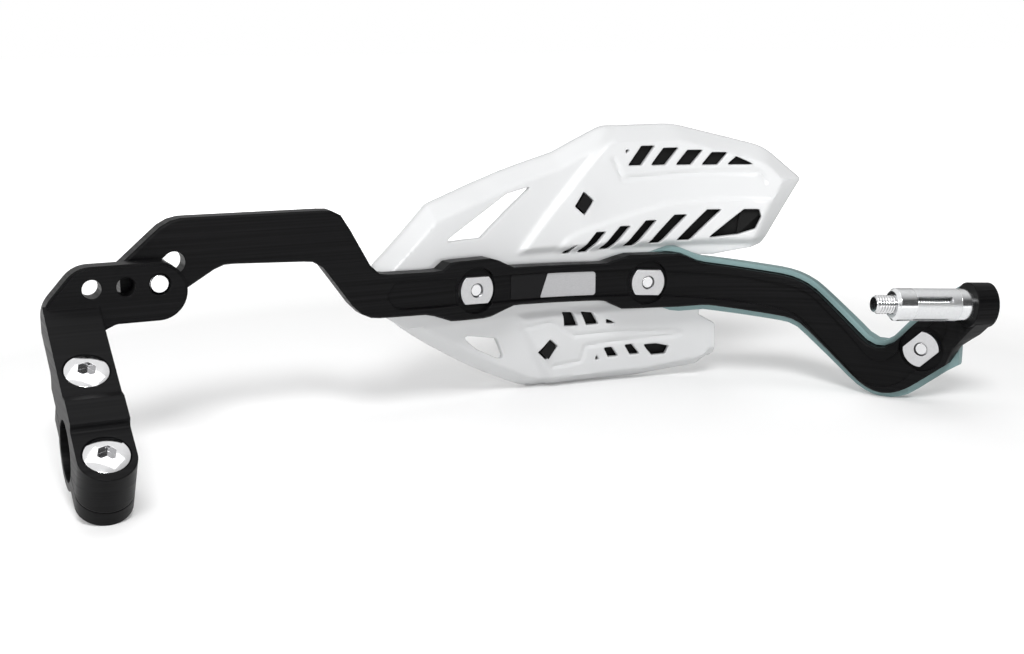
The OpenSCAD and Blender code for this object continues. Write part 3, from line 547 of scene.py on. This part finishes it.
def dome(s, z, at, height, spread):
    """A round dome about a point, in mm, that fades out by spread in mm2."""
    return height * np.exp(-((s - at[0]) ** 2 + (z - at[1]) ** 2) / spread)


def rear_face(s, z):
    """Forward offset of the shield's rear face, in mm."""
    flat = straightened(s, z)
    points = np.stack([s, z], axis=1)
    up = LEAN_UP * np.maximum(0, z - BEND_UP)
    to_rim = np.minimum(edge_z(TOP, flat) - z, WING_END - flat)
    up += FLARE * np.maximum(0, 1 - to_rim / RIM_UP)
    fold = fold_share(flat, z, *FOLD_UP)
    up -= FOLD_DEPTH * fold * np.clip((z - BEND_UP - 2.5) / 3, 0, 1)
    up += CREASE_LEAN * np.maximum(0, z - CREASE_Z) * smooth((CREASE_S - s) / 14)
    ledge = LEDGE_DEPTH * smooth((np.interp(s, LEDGE[:, 0], LEDGE[:, 1]) - z) / LEDGE_WIDTH)
    for end in ((s - LEDGE_FROM) / 6, (z - 43.5) / 3, (to_rim - 6) / 4):
        ledge = ledge * smooth(end)
    up -= ledge
    up -= dome(s, z, CLIP_UP, *DOME_UP)
    down = LEAN_DOWN * np.maximum(0, BEND_DOWN - z)
    to_rim = z - edge_z(BOTTOM, flat)
    down += FLARE * np.maximum(0, 1 - to_rim / RIM_DOWN)
    fold = fold_share(flat, z, *FOLD_DOWN)
    down -= FOLD_DEPTH * fold * smooth((BEND_DOWN + 1 - z) / 4)
    down -= dome(s, z, CLIP_DOWN, *DOME_DOWN)
    w = SHIELD_W + np.where(z > BEND_UP, up, np.where(z < BEND_DOWN, down, 0))
    for line in GROOVES:
        near = distance_to(points, np.array(line, float)) / GROOVE_WIDTH
        w += GROOVE_DEPTH * np.exp(-near ** 2)
    return w


# %% [markdown]
# ### Mesh of the shield
# A constrained triangulation fills the outline. The fixed edges are the
# outline and the holes, the free points are a fine grid, and two rows of
# points just inside each edge carry its rounding. The rear face, the front
# face and the walls between them then close the body.


# %% Fill the outline
def inside(points, loop):
    """Which points lie inside a closed loop."""
    hit = np.zeros(len(points), bool)
    x, y = points[:, 0], points[:, 1]
    for (x0, y0), (x1, y1) in zip(loop, np.roll(loop, -1, axis=0)):
        cross = (y0 > y) != (y1 > y)
        slope = (x1 - x0) / (y1 - y0) if y1 != y0 else 0.0
        hit ^= cross & (x < x0 + slope * (y - y0))
    return hit


def divided(loop, gap):
    """The loop with points added, so that none is further than gap apart."""
    out = []
    for a, b in zip(loop, np.roll(loop, -1, axis=0)):
        length = np.linalg.norm(b - a)
        if length < 1e-4:
            continue
        count = max(1, int(math.ceil(length / gap)))
        out += [a + (b - a) * i / count for i in range(count)]
    return np.array(out)


def on_material(points, outline, holes):
    """Which points lie on the sheet."""
    keep = inside(points, outline)
    for hole in holes:
        keep &= ~inside(points, hole)
    return keep


def filled_sheet(points, edges, outline, holes=()):
    """Points and triangles of a flat sheet, from points and fixed edges."""
    filled = delaunay_2d_cdt([Vector(p) for p in points], edges, [], 0, 1e-5)
    points = np.array([tuple(p) for p in filled[0]])
    faces = np.array([f for f in filled[2] if len(f) == 3])
    return points, faces[on_material(points[faces].mean(axis=1), outline, holes)]


# Width of a rounded edge, gap between points along it, gap between the free
# points, and the least distance of those from a rounded edge
EDGE_ROUND, EDGE_STEP, GRID, GRID_FREE = 0.7, 1.3, 1.15, 0.45
loops = [divided(loop, EDGE_STEP) for loop in [OUTLINE, *HOLES]]


def edge_distance(points):
    """Distance of each point to the nearest edge of the sheet."""
    return np.min([distance_to(points, loop, True) for loop in loops], axis=0)


rows = []
for loop in loops:
    along = np.roll(loop, -1, axis=0) - np.roll(loop, 1, axis=0)
    normal = np.stack([-along[:, 1], along[:, 0]], axis=1)
    normal /= np.maximum(np.linalg.norm(normal, axis=1, keepdims=True), 1e-9)
    for side in (-1, 1):
        for depth in (0.25, EDGE_ROUND):
            row = loop + side * depth * normal
            near = edge_distance(row)
            rows.append(row[(near > 0.9 * depth) & on_material(row, loops[0], loops[1:])])
grid_s, grid_z = np.meshgrid(np.arange(SHIELD_FROM, 296, GRID),
                             np.arange(-23, 101, GRID * 0.866))
grid_s[1::2] += GRID / 2
grid = np.stack([grid_s.ravel(), grid_z.ravel()], axis=1)
grid = grid[on_material(grid, loops[0], loops[1:])]
grid = grid[edge_distance(grid) > EDGE_ROUND + GRID_FREE]
flat_points = np.vstack([*loops, *rows, grid])
fixed_edges, first = [], 0
for loop in loops:
    fixed_edges += [(first + i, first + (i + 1) % len(loop)) for i in range(len(loop))]
    first += len(loop)
sheet_points, sheet_faces = filled_sheet(flat_points, fixed_edges, loops[0], loops[1:])
print("sheet:", len(sheet_points), "points,", len(sheet_faces), "faces")


# %% Close the shield
EDGE_FALL = 0.55


def edge_drop(distance):
    """How far a rounded edge falls back at a distance from it."""
    t = np.clip(distance / EDGE_ROUND, 0, 1)
    return EDGE_FALL * (1 - np.sqrt(np.maximum(0, 1 - (1 - t) ** 2)))


def closed_body(low, high, faces):
    """Points and faces of a body between two like faces, with its walls."""
    count, edge_use = len(low), {}
    for a, b, c in faces:
        for pair in ((a, b), (b, c), (c, a)):
            edge_use.setdefault(tuple(sorted(pair)), []).append(pair)
    walls = [(p[0][0], p[0][1], p[0][1] + count, p[0][0] + count)
             for p in edge_use.values() if len(p) == 1]
    body = [tuple(f) for f in faces] + [tuple(f[::-1] + count) for f in faces] + walls
    return list(low) + list(high), body


def new_piece(name, points, faces, material, slot):
    """A piece in the frame's metres, from its points and faces."""
    mesh = bpy.data.meshes.new(name)
    mesh.from_pydata([tuple(p) for p in points], [], [tuple(map(int, f)) for f in faces])
    bm = bmesh.new()
    bm.from_mesh(mesh)
    bmesh.ops.remove_doubles(bm, verts=bm.verts, dist=1e-7)
    bmesh.ops.recalc_face_normals(bm, faces=bm.faces)
    shade(bm, SKIN_ANGLE)
    loose = [v for v in bm.verts if not v.link_faces]
    bmesh.ops.delete(bm, geom=loose, context="VERTS")
    bm.to_mesh(mesh)
    bm.free()
    return add_piece(name, mesh, material)


def tube_mesh(matrix, rings, count=40):
    """A closed turned ring along Y: rings are (radius, y) in mm, in a loop."""
    turns = np.linspace(0, 2 * math.pi, count, endpoint=False)
    points = [matrix @ Vector((r * math.cos(a) * MM, y * MM, r * math.sin(a) * MM))
              for r, y in rings for a in turns]
    n = len(rings)
    faces = [(i * count + j, i * count + (j + 1) % count,
              ((i + 1) % n) * count + (j + 1) % count, ((i + 1) % n) * count + j)
             for i in range(n) for j in range(count)]
    return points, faces


rear_w = rear_face(sheet_points[:, 0], sheet_points[:, 1])
drop = edge_drop(edge_distance(sheet_points))
rear = on_plan(sheet_points[:, 0], rear_w + drop, sheet_points[:, 1])
front = on_plan(sheet_points[:, 0], rear_w + SHIELD_T - drop, sheet_points[:, 1])
body_points, body_faces = closed_body(rear, front, sheet_faces)
# The spacer between the bar and the shield, round the inner screw
SPACER_R, SPACER_FROM, SPACER_TO = 8, 4.62, 9.3
spacer, spacer_faces = tube_mesh(bar_matrix(NUT_IN, 0, NUT_IN_Z),
                                 [(SCREW_HOLE_R, SPACER_FROM), (SPACER_R, SPACER_FROM),
                                  (SPACER_R, SPACER_TO), (SCREW_HOLE_R, SPACER_TO)])
body_faces += [tuple(i + len(body_points) for i in f) for f in spacer_faces]
body_points += [tuple(p) for p in spacer]
shell = new_piece("shield_shell", body_points, body_faces, white_plastic, "white_plastic")
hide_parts("shield")
print("shield:", len(shell.data.polygons), "faces")

# %% [markdown]
# ## Screw threads
# A thread is a ridge that winds round a core, so it follows a path: a spiral
# with a four-sided profile swept along it. Geometry Nodes make it from three
# sizes and a material. The turns then sit in place of the plain cylinder of
# the CAD screw.


# %% Thread node tree
def thread_tree():
    """Geometry Nodes for a threaded rod along Z."""
    tree = bpy.data.node_groups.new("thread", "GeometryNodeTree")
    face = tree.interface
    for name in ("Radius", "Pitch", "Length"):
        face.new_socket(name=name, in_out="INPUT", socket_type="NodeSocketFloat")
    face.new_socket(name="Finish", in_out="INPUT", socket_type="NodeSocketMaterial")
    face.new_socket(name="Geometry", in_out="OUTPUT", socket_type="NodeSocketGeometry")
    new, link = tree.nodes.new, tree.links.new
    sizes, out = new("NodeGroupInput"), new("NodeGroupOutput")

    def math_node(kind, a, b):
        made = new("ShaderNodeMath")
        made.operation = kind
        for socket, value in zip(made.inputs, (a, b)):
            if isinstance(value, (int, float)):
                socket.default_value = value
            else:
                link(value, socket)
        return made.outputs[0]

    turns = math_node("DIVIDE", sizes.outputs["Length"], sizes.outputs["Pitch"])
    profile_r = math_node("MULTIPLY", sizes.outputs["Pitch"], 0.5)
    ridge_r = math_node("SUBTRACT", sizes.outputs["Radius"], profile_r)
    core_r = math_node("SUBTRACT", sizes.outputs["Radius"],
                       math_node("MULTIPLY", sizes.outputs["Pitch"], 0.55))
    spiral = new("GeometryNodeCurveSpiral")
    spiral.inputs["Resolution"].default_value = 28
    link(turns, spiral.inputs["Rotations"])
    link(ridge_r, spiral.inputs["Start Radius"])
    link(ridge_r, spiral.inputs["End Radius"])
    link(sizes.outputs["Length"], spiral.inputs["Height"])
    upright = new("GeometryNodeSetCurveNormal")
    upright.mode = "Z_UP"
    link(spiral.outputs[0], upright.inputs["Curve"])
    profile = new("GeometryNodeCurvePrimitiveCircle")
    profile.inputs["Resolution"].default_value = 4
    link(profile_r, profile.inputs["Radius"])
    sweep = new("GeometryNodeCurveToMesh")
    sweep.inputs["Fill Caps"].default_value = True
    link(upright.outputs[0], sweep.inputs["Curve"])
    link(profile.outputs["Curve"], sweep.inputs["Profile Curve"])
    core = new("GeometryNodeMeshCylinder")
    core.inputs["Vertices"].default_value = 32
    link(core_r, core.inputs["Radius"])
    link(math_node("ADD", sizes.outputs["Length"], sizes.outputs["Pitch"]),
         core.inputs["Depth"])
    lift = new("GeometryNodeTransform")
    shift = new("ShaderNodeCombineXYZ")
    link(math_node("MULTIPLY", sizes.outputs["Length"], 0.5), shift.inputs["Z"])
    link(core.outputs["Mesh"], lift.inputs["Geometry"])
    link(shift.outputs[0], lift.inputs["Translation"])
    join = new("GeometryNodeJoinGeometry")
    link(sweep.outputs[0], join.inputs[0])
    link(lift.outputs[0], join.inputs[0])
    real = new("GeometryNodeRealizeInstances")
    finish = new("GeometryNodeSetMaterial")
    link(join.outputs[0], real.inputs[0])
    link(real.outputs[0], finish.inputs["Geometry"])
    link(sizes.outputs["Finish"], finish.inputs["Material"])
    link(finish.outputs[0], out.inputs[0])
    return tree


def made_by(tree, values, name):
    """A plain mesh from a node tree, with its inputs set by identifier."""
    holder = bpy.data.objects.new(name, bpy.data.meshes.new(name))
    scene.collection.objects.link(holder)
    modifier = holder.modifiers.new("nodes", "NODES")
    modifier.node_group = tree
    for item in tree.interface.items_tree:
        if item.item_type == "SOCKET" and item.in_out == "INPUT":
            modifier[item.identifier] = values[item.name]
    depsgraph = bpy.context.evaluated_depsgraph_get()
    mesh = bpy.data.meshes.new_from_object(holder.evaluated_get(depsgraph))
    bpy.data.objects.remove(holder)
    return mesh


THREAD = thread_tree()

# %% [markdown]
# ## Screws with threads
# The head is the CAD screw's own, cut off below its seat and capped. The
# shank is the wound thread. Both become one mesh that stands for the CAD
# screw. The core is a pitch longer than the turns, so the cut of 1.2 pitches
# keeps both inside the CAD screw's length. In a screw's own frame Y runs along
# it, with the head at the far end.


# %% Threaded screws
THREAD_CUT = 1.2


def threaded(node, matrix, radius, pitch, tip_y, seat_y, material, slot):
    """A CAD screw whose shank, from tip_y to seat_y, is a real thread."""
    bm = bmesh.new()
    bm.from_mesh(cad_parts[node].data)
    bmesh.ops.remove_doubles(bm, verts=bm.verts, dist=CAD_MERGE)
    bmesh.ops.transform(bm, matrix=matrix.inverted(), verts=bm.verts)
    cut = bmesh.ops.bisect_plane(bm, geom=bm.verts[:] + bm.edges[:] + bm.faces[:],
                                 plane_co=(0, seat_y * MM, 0), plane_no=(0, -1, 0),
                                 clear_outer=True)
    rim = [g for g in cut["geom_cut"] if isinstance(g, bmesh.types.BMEdge)]
    bmesh.ops.contextual_create(bm, geom=rim)
    shade(bm, CAD_ANGLE)
    length = seat_y - tip_y - THREAD_CUT * pitch
    wound = made_by(THREAD, {"Radius": radius * MM, "Pitch": pitch * MM,
                             "Length": length * MM, "Finish": material}, node + "_wound")
    upright = Matrix.Rotation(math.radians(-90), 4, "X")
    wound.transform(Matrix.Translation((0, (tip_y + THREAD_CUT / 2 * pitch) * MM, 0)) @ upright)
    bm.from_mesh(wound)
    bmesh.ops.transform(bm, matrix=matrix, verts=bm.verts)
    mesh = bpy.data.meshes.new(node + "_thread")
    bm.to_mesh(mesh)
    bm.free()
    made = add_piece(node + "_thread", mesh, material)
    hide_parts(node)
    return made


def screw_ends(node, matrix, radius):
    """The tip and the head's seat of a CAD screw along its own Y, in mm."""
    inverse = matrix.inverted()
    points = [inverse @ v.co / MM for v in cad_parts[node].data.vertices]
    wide = [p.y for p in points if math.hypot(p.x, p.z) > radius + 0.3]
    return min(p.y for p in points), min(wide)


# Radius and pitch of the threads, and ends of the two larger ones, in mm
M8, M6 = (4.0, 1.25), (3.0, 1.0)
BOSS_TILT, BOSS_T = math.radians(2.8), 9.9
STUD_END = -44.2
JOINT_SCREW_AT = (32.5, 0.0, 50.0)
JOINT_TIP, JOINT_SEAT = 34.1, 53.1

boss_matrix = (bar_matrix(BOSS, 0, BOSS_Z) @ Matrix.Rotation(-BOSS_TILT, 4, "X")
               @ Matrix.Translation((0, -BOSS_T / 2 * MM, 0)))
joint_matrix = Matrix.Translation(Vector(JOINT_SCREW_AT) * MM)
for node, place, tip, seat in (("expander_bolt", boss_matrix, STUD_END, 0.0),
                               ("joint_screw", joint_matrix, JOINT_TIP, JOINT_SEAT)):
    made = threaded(node, place, *M8, tip, seat, bright_steel, "bright_steel")
    print(made.name, "from", tip, "to", seat, "mm")

for node, s, z in (("shield_screw_inner", NUT_IN, NUT_IN_Z),
                   ("shield_screw_middle", NUT_MID, NUT_MID_Z),
                   ("strip_screw_outer", NUT_OUT, NUT_OUT_Z)):
    place = bar_matrix(s, 0, z)
    tip, seat = screw_ends(node, place, M6[0])
    made = threaded(node, place, *M6, tip, seat, bright_steel, "bright_steel")
    print(made.name, "from", round(tip, 1), "to", round(seat, 1), "mm")

# %% [markdown]
# ## The upper cover's catch
# The last vent in the upper wing's lower row shows a black catch, where the
# vent cover hooks round the shield. It is a small prism on the shield's front.

# %% Catch
CATCH = np.array([(268.5, 48.5), (281.5, 50.5), (282.0, 62.0), (270.5, 62.0)])
CATCH_GAP, CATCH_T = 0.2, 1.4
catch_w = rear_face(CATCH[:, 0], CATCH[:, 1]) + SHIELD_T + CATCH_GAP
catch_low = on_plan(CATCH[:, 0], catch_w, CATCH[:, 1])
catch_high = on_plan(CATCH[:, 0], catch_w + CATCH_T, CATCH[:, 1])
catch_sides = [(i, (i + 1) % 4, (i + 1) % 4 + 4, i + 4) for i in range(4)]
catch = new_piece("cover_catch", list(catch_low) + list(catch_high),
                  [(0, 1, 2, 3), (7, 6, 5, 4)] + catch_sides, black_plastic, "black_plastic")
print(catch.name, len(catch.data.polygons), "faces")

# %% [markdown]
# ## Label
# A thin film lies in the bar's channel, in two parts with a slanted joint
# between them, dark on the left and silver on the right. Its corners are
# rounded and it is left bare. Each part is a flat polygon that follows the
# bar, 0.25 mm thick.

# %% Label film
SHEEN = (900, 900, 12000)
dark_film, tree, shader = new_material("dark_film", (0.006, 0.006, 0.0065), 0.28)
shader.inputs["Specular IOR Level"].default_value = 0.10
bump(tree, shader, noise(tree, 1200, 2.0), 0.15, 0.00002)
silver_film, tree, shader = new_material("silver_film", (0.42, 0.42, 0.43), 0.38, 0.6)
sheen = noise(tree, 1.0, 2.0, SHEEN)
vary_color(tree, shader, sheen, (0.37, 0.37, 0.38), (0.46, 0.46, 0.47))
tree.links.new(remap(tree, sheen, 0.32, 0.45), shader.inputs["Roughness"])
print("films:", dark_film.name, silver_film.name)

# %% Label
LABEL_FROM, LABEL_TO, LABEL_H = 153.0, 197.0, 10.6
LABEL_SPLIT, LABEL_LEAN = 170.0, 4.0
LABEL_T, LABEL_GAP, LABEL_SEAM = 0.25, 0.03, 0.4
LABEL_STEP, LABEL_GRID = 1.5, 2.0
LABEL_W = -BAR_T / 2 + CHANNEL_D - LABEL_GAP
CHANNEL = rounded([(83.8, 36.4, 0), (135, 34.4, 20), (223, 30.4, 20), (268, 25.8, 20),
                   (297, 20.9, 28)], steps=8)


def film(name, corners, material):
    """A thin plate with rounded corners, given by s and height off the middle."""
    loop = divided(rounded(corners, True, 5), LABEL_STEP)
    grid = np.array([(s, z) for s in np.arange(LABEL_FROM, LABEL_TO, LABEL_GRID)
                     for z in np.arange(-LABEL_H / 2 + 1, LABEL_H / 2, LABEL_GRID)])
    grid = grid[inside(grid, loop) & (distance_to(grid, loop, True) > 0.5)]
    edges = [(i, (i + 1) % len(loop)) for i in range(len(loop))]
    points, faces = filled_sheet(np.vstack([loop, grid]), edges, loop)
    z = points[:, 1] + edge_z(CHANNEL, points[:, 0])
    low = on_plan(points[:, 0], LABEL_W - LABEL_T, z)
    high = on_plan(points[:, 0], LABEL_W, z)
    return new_piece(name, *closed_body(low, high, faces), material, "label_film")


half = LABEL_H / 2
low_end, high_end = LABEL_SPLIT - LABEL_LEAN / 2, LABEL_SPLIT + LABEL_LEAN / 2
dark = film("label_dark", [(LABEL_FROM, -half, 1.2), (low_end, -half, 0.3),
                           (high_end, half, 0.3), (LABEL_FROM, half, 1.2)], dark_film)
silver = film("label_silver", [(low_end + LABEL_SEAM, -half, 0.6), (LABEL_TO, -half, 1.6),
                               (LABEL_TO, half, 1.6), (high_end + LABEL_SEAM, half, 0.6)],
              silver_film)
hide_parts("label")
print("label parts:", dark.name, silver.name)

# %% [markdown]
# ## Floor, lamps and room
# The photograph has a pure white ground with soft grey shadows. The floor is
# a matt plane. In direct view and in mirror images it also glows: a little
# under the part, so that its shadow stays, and more with distance, so that
# the ground meets the white background without a seam. The key lamp is above
# and behind the camera, and wide lamps stand overhead, at the left, low in
# front and behind the part. The low and the rear one don't show in mirror
# images. The room is bright above and dark behind the camera, so black faces
# stay black and bevels catch the light. It lights matt faces by less than it
# shows in mirrors.

# %% Floor
FLOOR_REACH = 6
FLOOR_COLOR = 0.80
GLOW_CENTRE = (0.17, 0.0, FLOOR_Z * MM)
GLOW_NEAR, GLOW_FAR = 0.15, 1.1
GLOW_FROM, GLOW_TO = 0.30, 0.85
floor_mesh = bpy.data.meshes.new("floor")
floor_mesh.from_pydata([(x * FLOOR_REACH, y * FLOOR_REACH, FLOOR_Z * MM)
                        for x, y in ((-1, -1), (1, -1), (1, 1), (-1, 1))], [], [(0, 1, 2, 3)])
floor = bpy.data.objects.new("floor", floor_mesh)
scene.collection.objects.link(floor)
ground = bpy.data.materials.new("ground")
ground.use_nodes = True
tree = ground.node_tree
tree.nodes.clear()
matt = tree.nodes.new("ShaderNodeBsdfDiffuse")
matt.inputs["Color"].default_value = (FLOOR_COLOR, FLOOR_COLOR, FLOOR_COLOR, 1)
glow = tree.nodes.new("ShaderNodeEmission")
path = tree.nodes.new("ShaderNodeLightPath")
where = tree.nodes.new("ShaderNodeTexCoord")
away = tree.nodes.new("ShaderNodeVectorMath")
away.operation = "DISTANCE"
away.inputs[1].default_value = GLOW_CENTRE
tree.links.new(where.outputs["Object"], away.inputs[0])
rise = remap(tree, away.outputs["Value"], GLOW_NEAR, GLOW_FAR, GLOW_FROM, GLOW_TO)
scale = tree.nodes.new("ShaderNodeMath")
scale.operation = "MULTIPLY"
add = tree.nodes.new("ShaderNodeAddShader")
out = tree.nodes.new("ShaderNodeOutputMaterial")
either = tree.nodes.new("ShaderNodeMath")
either.operation = "MAXIMUM"
tree.links.new(path.outputs["Is Camera Ray"], either.inputs[0])
tree.links.new(path.outputs["Is Glossy Ray"], either.inputs[1])
tree.links.new(either.outputs[0], scale.inputs[0])
tree.links.new(rise, scale.inputs[1])
tree.links.new(scale.outputs[0], glow.inputs["Strength"])
tree.links.new(matt.outputs[0], add.inputs[0])
tree.links.new(glow.outputs[0], add.inputs[1])
tree.links.new(add.outputs[0], out.inputs["Surface"])
floor_mesh.materials.append(ground)
print("floor at", FLOOR_Z, "mm")


# %% Lamps
def soft_lamp(name, place, aim, size, power, mirrored):
    """A wide lamp at place, turned to aim, both in metres."""
    data = bpy.data.lights.new(name, "AREA")
    data.shape = "RECTANGLE"
    data.size, data.size_y = size
    data.energy = power
    lamp = bpy.data.objects.new(name, data)
    scene.collection.objects.link(lamp)
    lamp.location = place
    lamp.rotation_mode = "QUATERNION"
    lamp.rotation_quaternion = (Vector(aim) - Vector(place)).to_track_quat("-Z", "Y")
    lamp.visible_glossy = mirrored
    lamp.visible_camera = False


# Name, place and size in metres, power in watts, and whether it is mirrored
LAMPS = [("key", (-0.16, -0.73, 0.77), (0.34, 0.28), 10.2, True),
         ("overhead", (0.12, -0.05, 1.00), (0.9, 0.6), 2.0, True),
         ("left", (-0.85, -0.05, 0.30), (0.4, 0.6), 2.6, True),
         ("low", (0.00, -1.10, 0.10), (0.8, 0.2), 7.5, False),
         ("rear", (0.40, 1.20, 0.45), (1.2, 0.5), 6.5, False)]
LAMP_AIM = (0.17, 0.02, 0.03)
for name, place, size, power, mirrored in LAMPS:
    soft_lamp(name, place, LAMP_AIM, size, power, mirrored)

# %% Room
BRIGHT_SIDE = (-0.30, 0.35, 0.89)
DARK_AT, BRIGHT_AT = 0.12, 0.70
DARK, BRIGHT = 0.08, 1.0
ROOM_FILL = 0.30
world = bpy.data.worlds.new("room")
world.use_nodes = True
scene.world = world
tree = world.node_tree
tree.nodes.clear()
where = tree.nodes.new("ShaderNodeTexCoord")
towards = tree.nodes.new("ShaderNodeVectorMath")
towards.operation = "DOT_PRODUCT"
towards.inputs[1].default_value = BRIGHT_SIDE
ramp = tree.nodes.new("ShaderNodeValToRGB")
ramp.color_ramp.elements[0].position = DARK_AT
ramp.color_ramp.elements[0].color = (DARK, DARK, DARK, 1)
ramp.color_ramp.elements[1].position = BRIGHT_AT
ramp.color_ramp.elements[1].color = (BRIGHT, BRIGHT, BRIGHT, 1)
seen = tree.nodes.new("ShaderNodeBackground")
seen.inputs["Color"].default_value = (1, 1, 1, 1)
room = tree.nodes.new("ShaderNodeBackground")
path = tree.nodes.new("ShaderNodeLightPath")
level = remap(tree, path.outputs["Is Glossy Ray"], ROOM_FILL, 1.0, 0.0, 1.0)
mix = tree.nodes.new("ShaderNodeMixShader")
out = tree.nodes.new("ShaderNodeOutputWorld")
tree.links.new(where.outputs["Generated"], towards.inputs[0])
tree.links.new(towards.outputs["Value"], ramp.inputs["Fac"])
tree.links.new(ramp.outputs["Color"], room.inputs["Color"])
tree.links.new(level, room.inputs["Strength"])
tree.links.new(path.outputs["Is Camera Ray"], mix.inputs["Fac"])
tree.links.new(room.outputs[0], mix.inputs[1])
tree.links.new(seen.outputs[0], mix.inputs[2])
tree.links.new(mix.outputs[0], out.inputs["Surface"])
print("room:", world.name)

# %% [markdown]
# ## View and finish
# The Standard view shows a colour about as it is written.

# %% Finish
scene.view_settings.view_transform = "Standard"
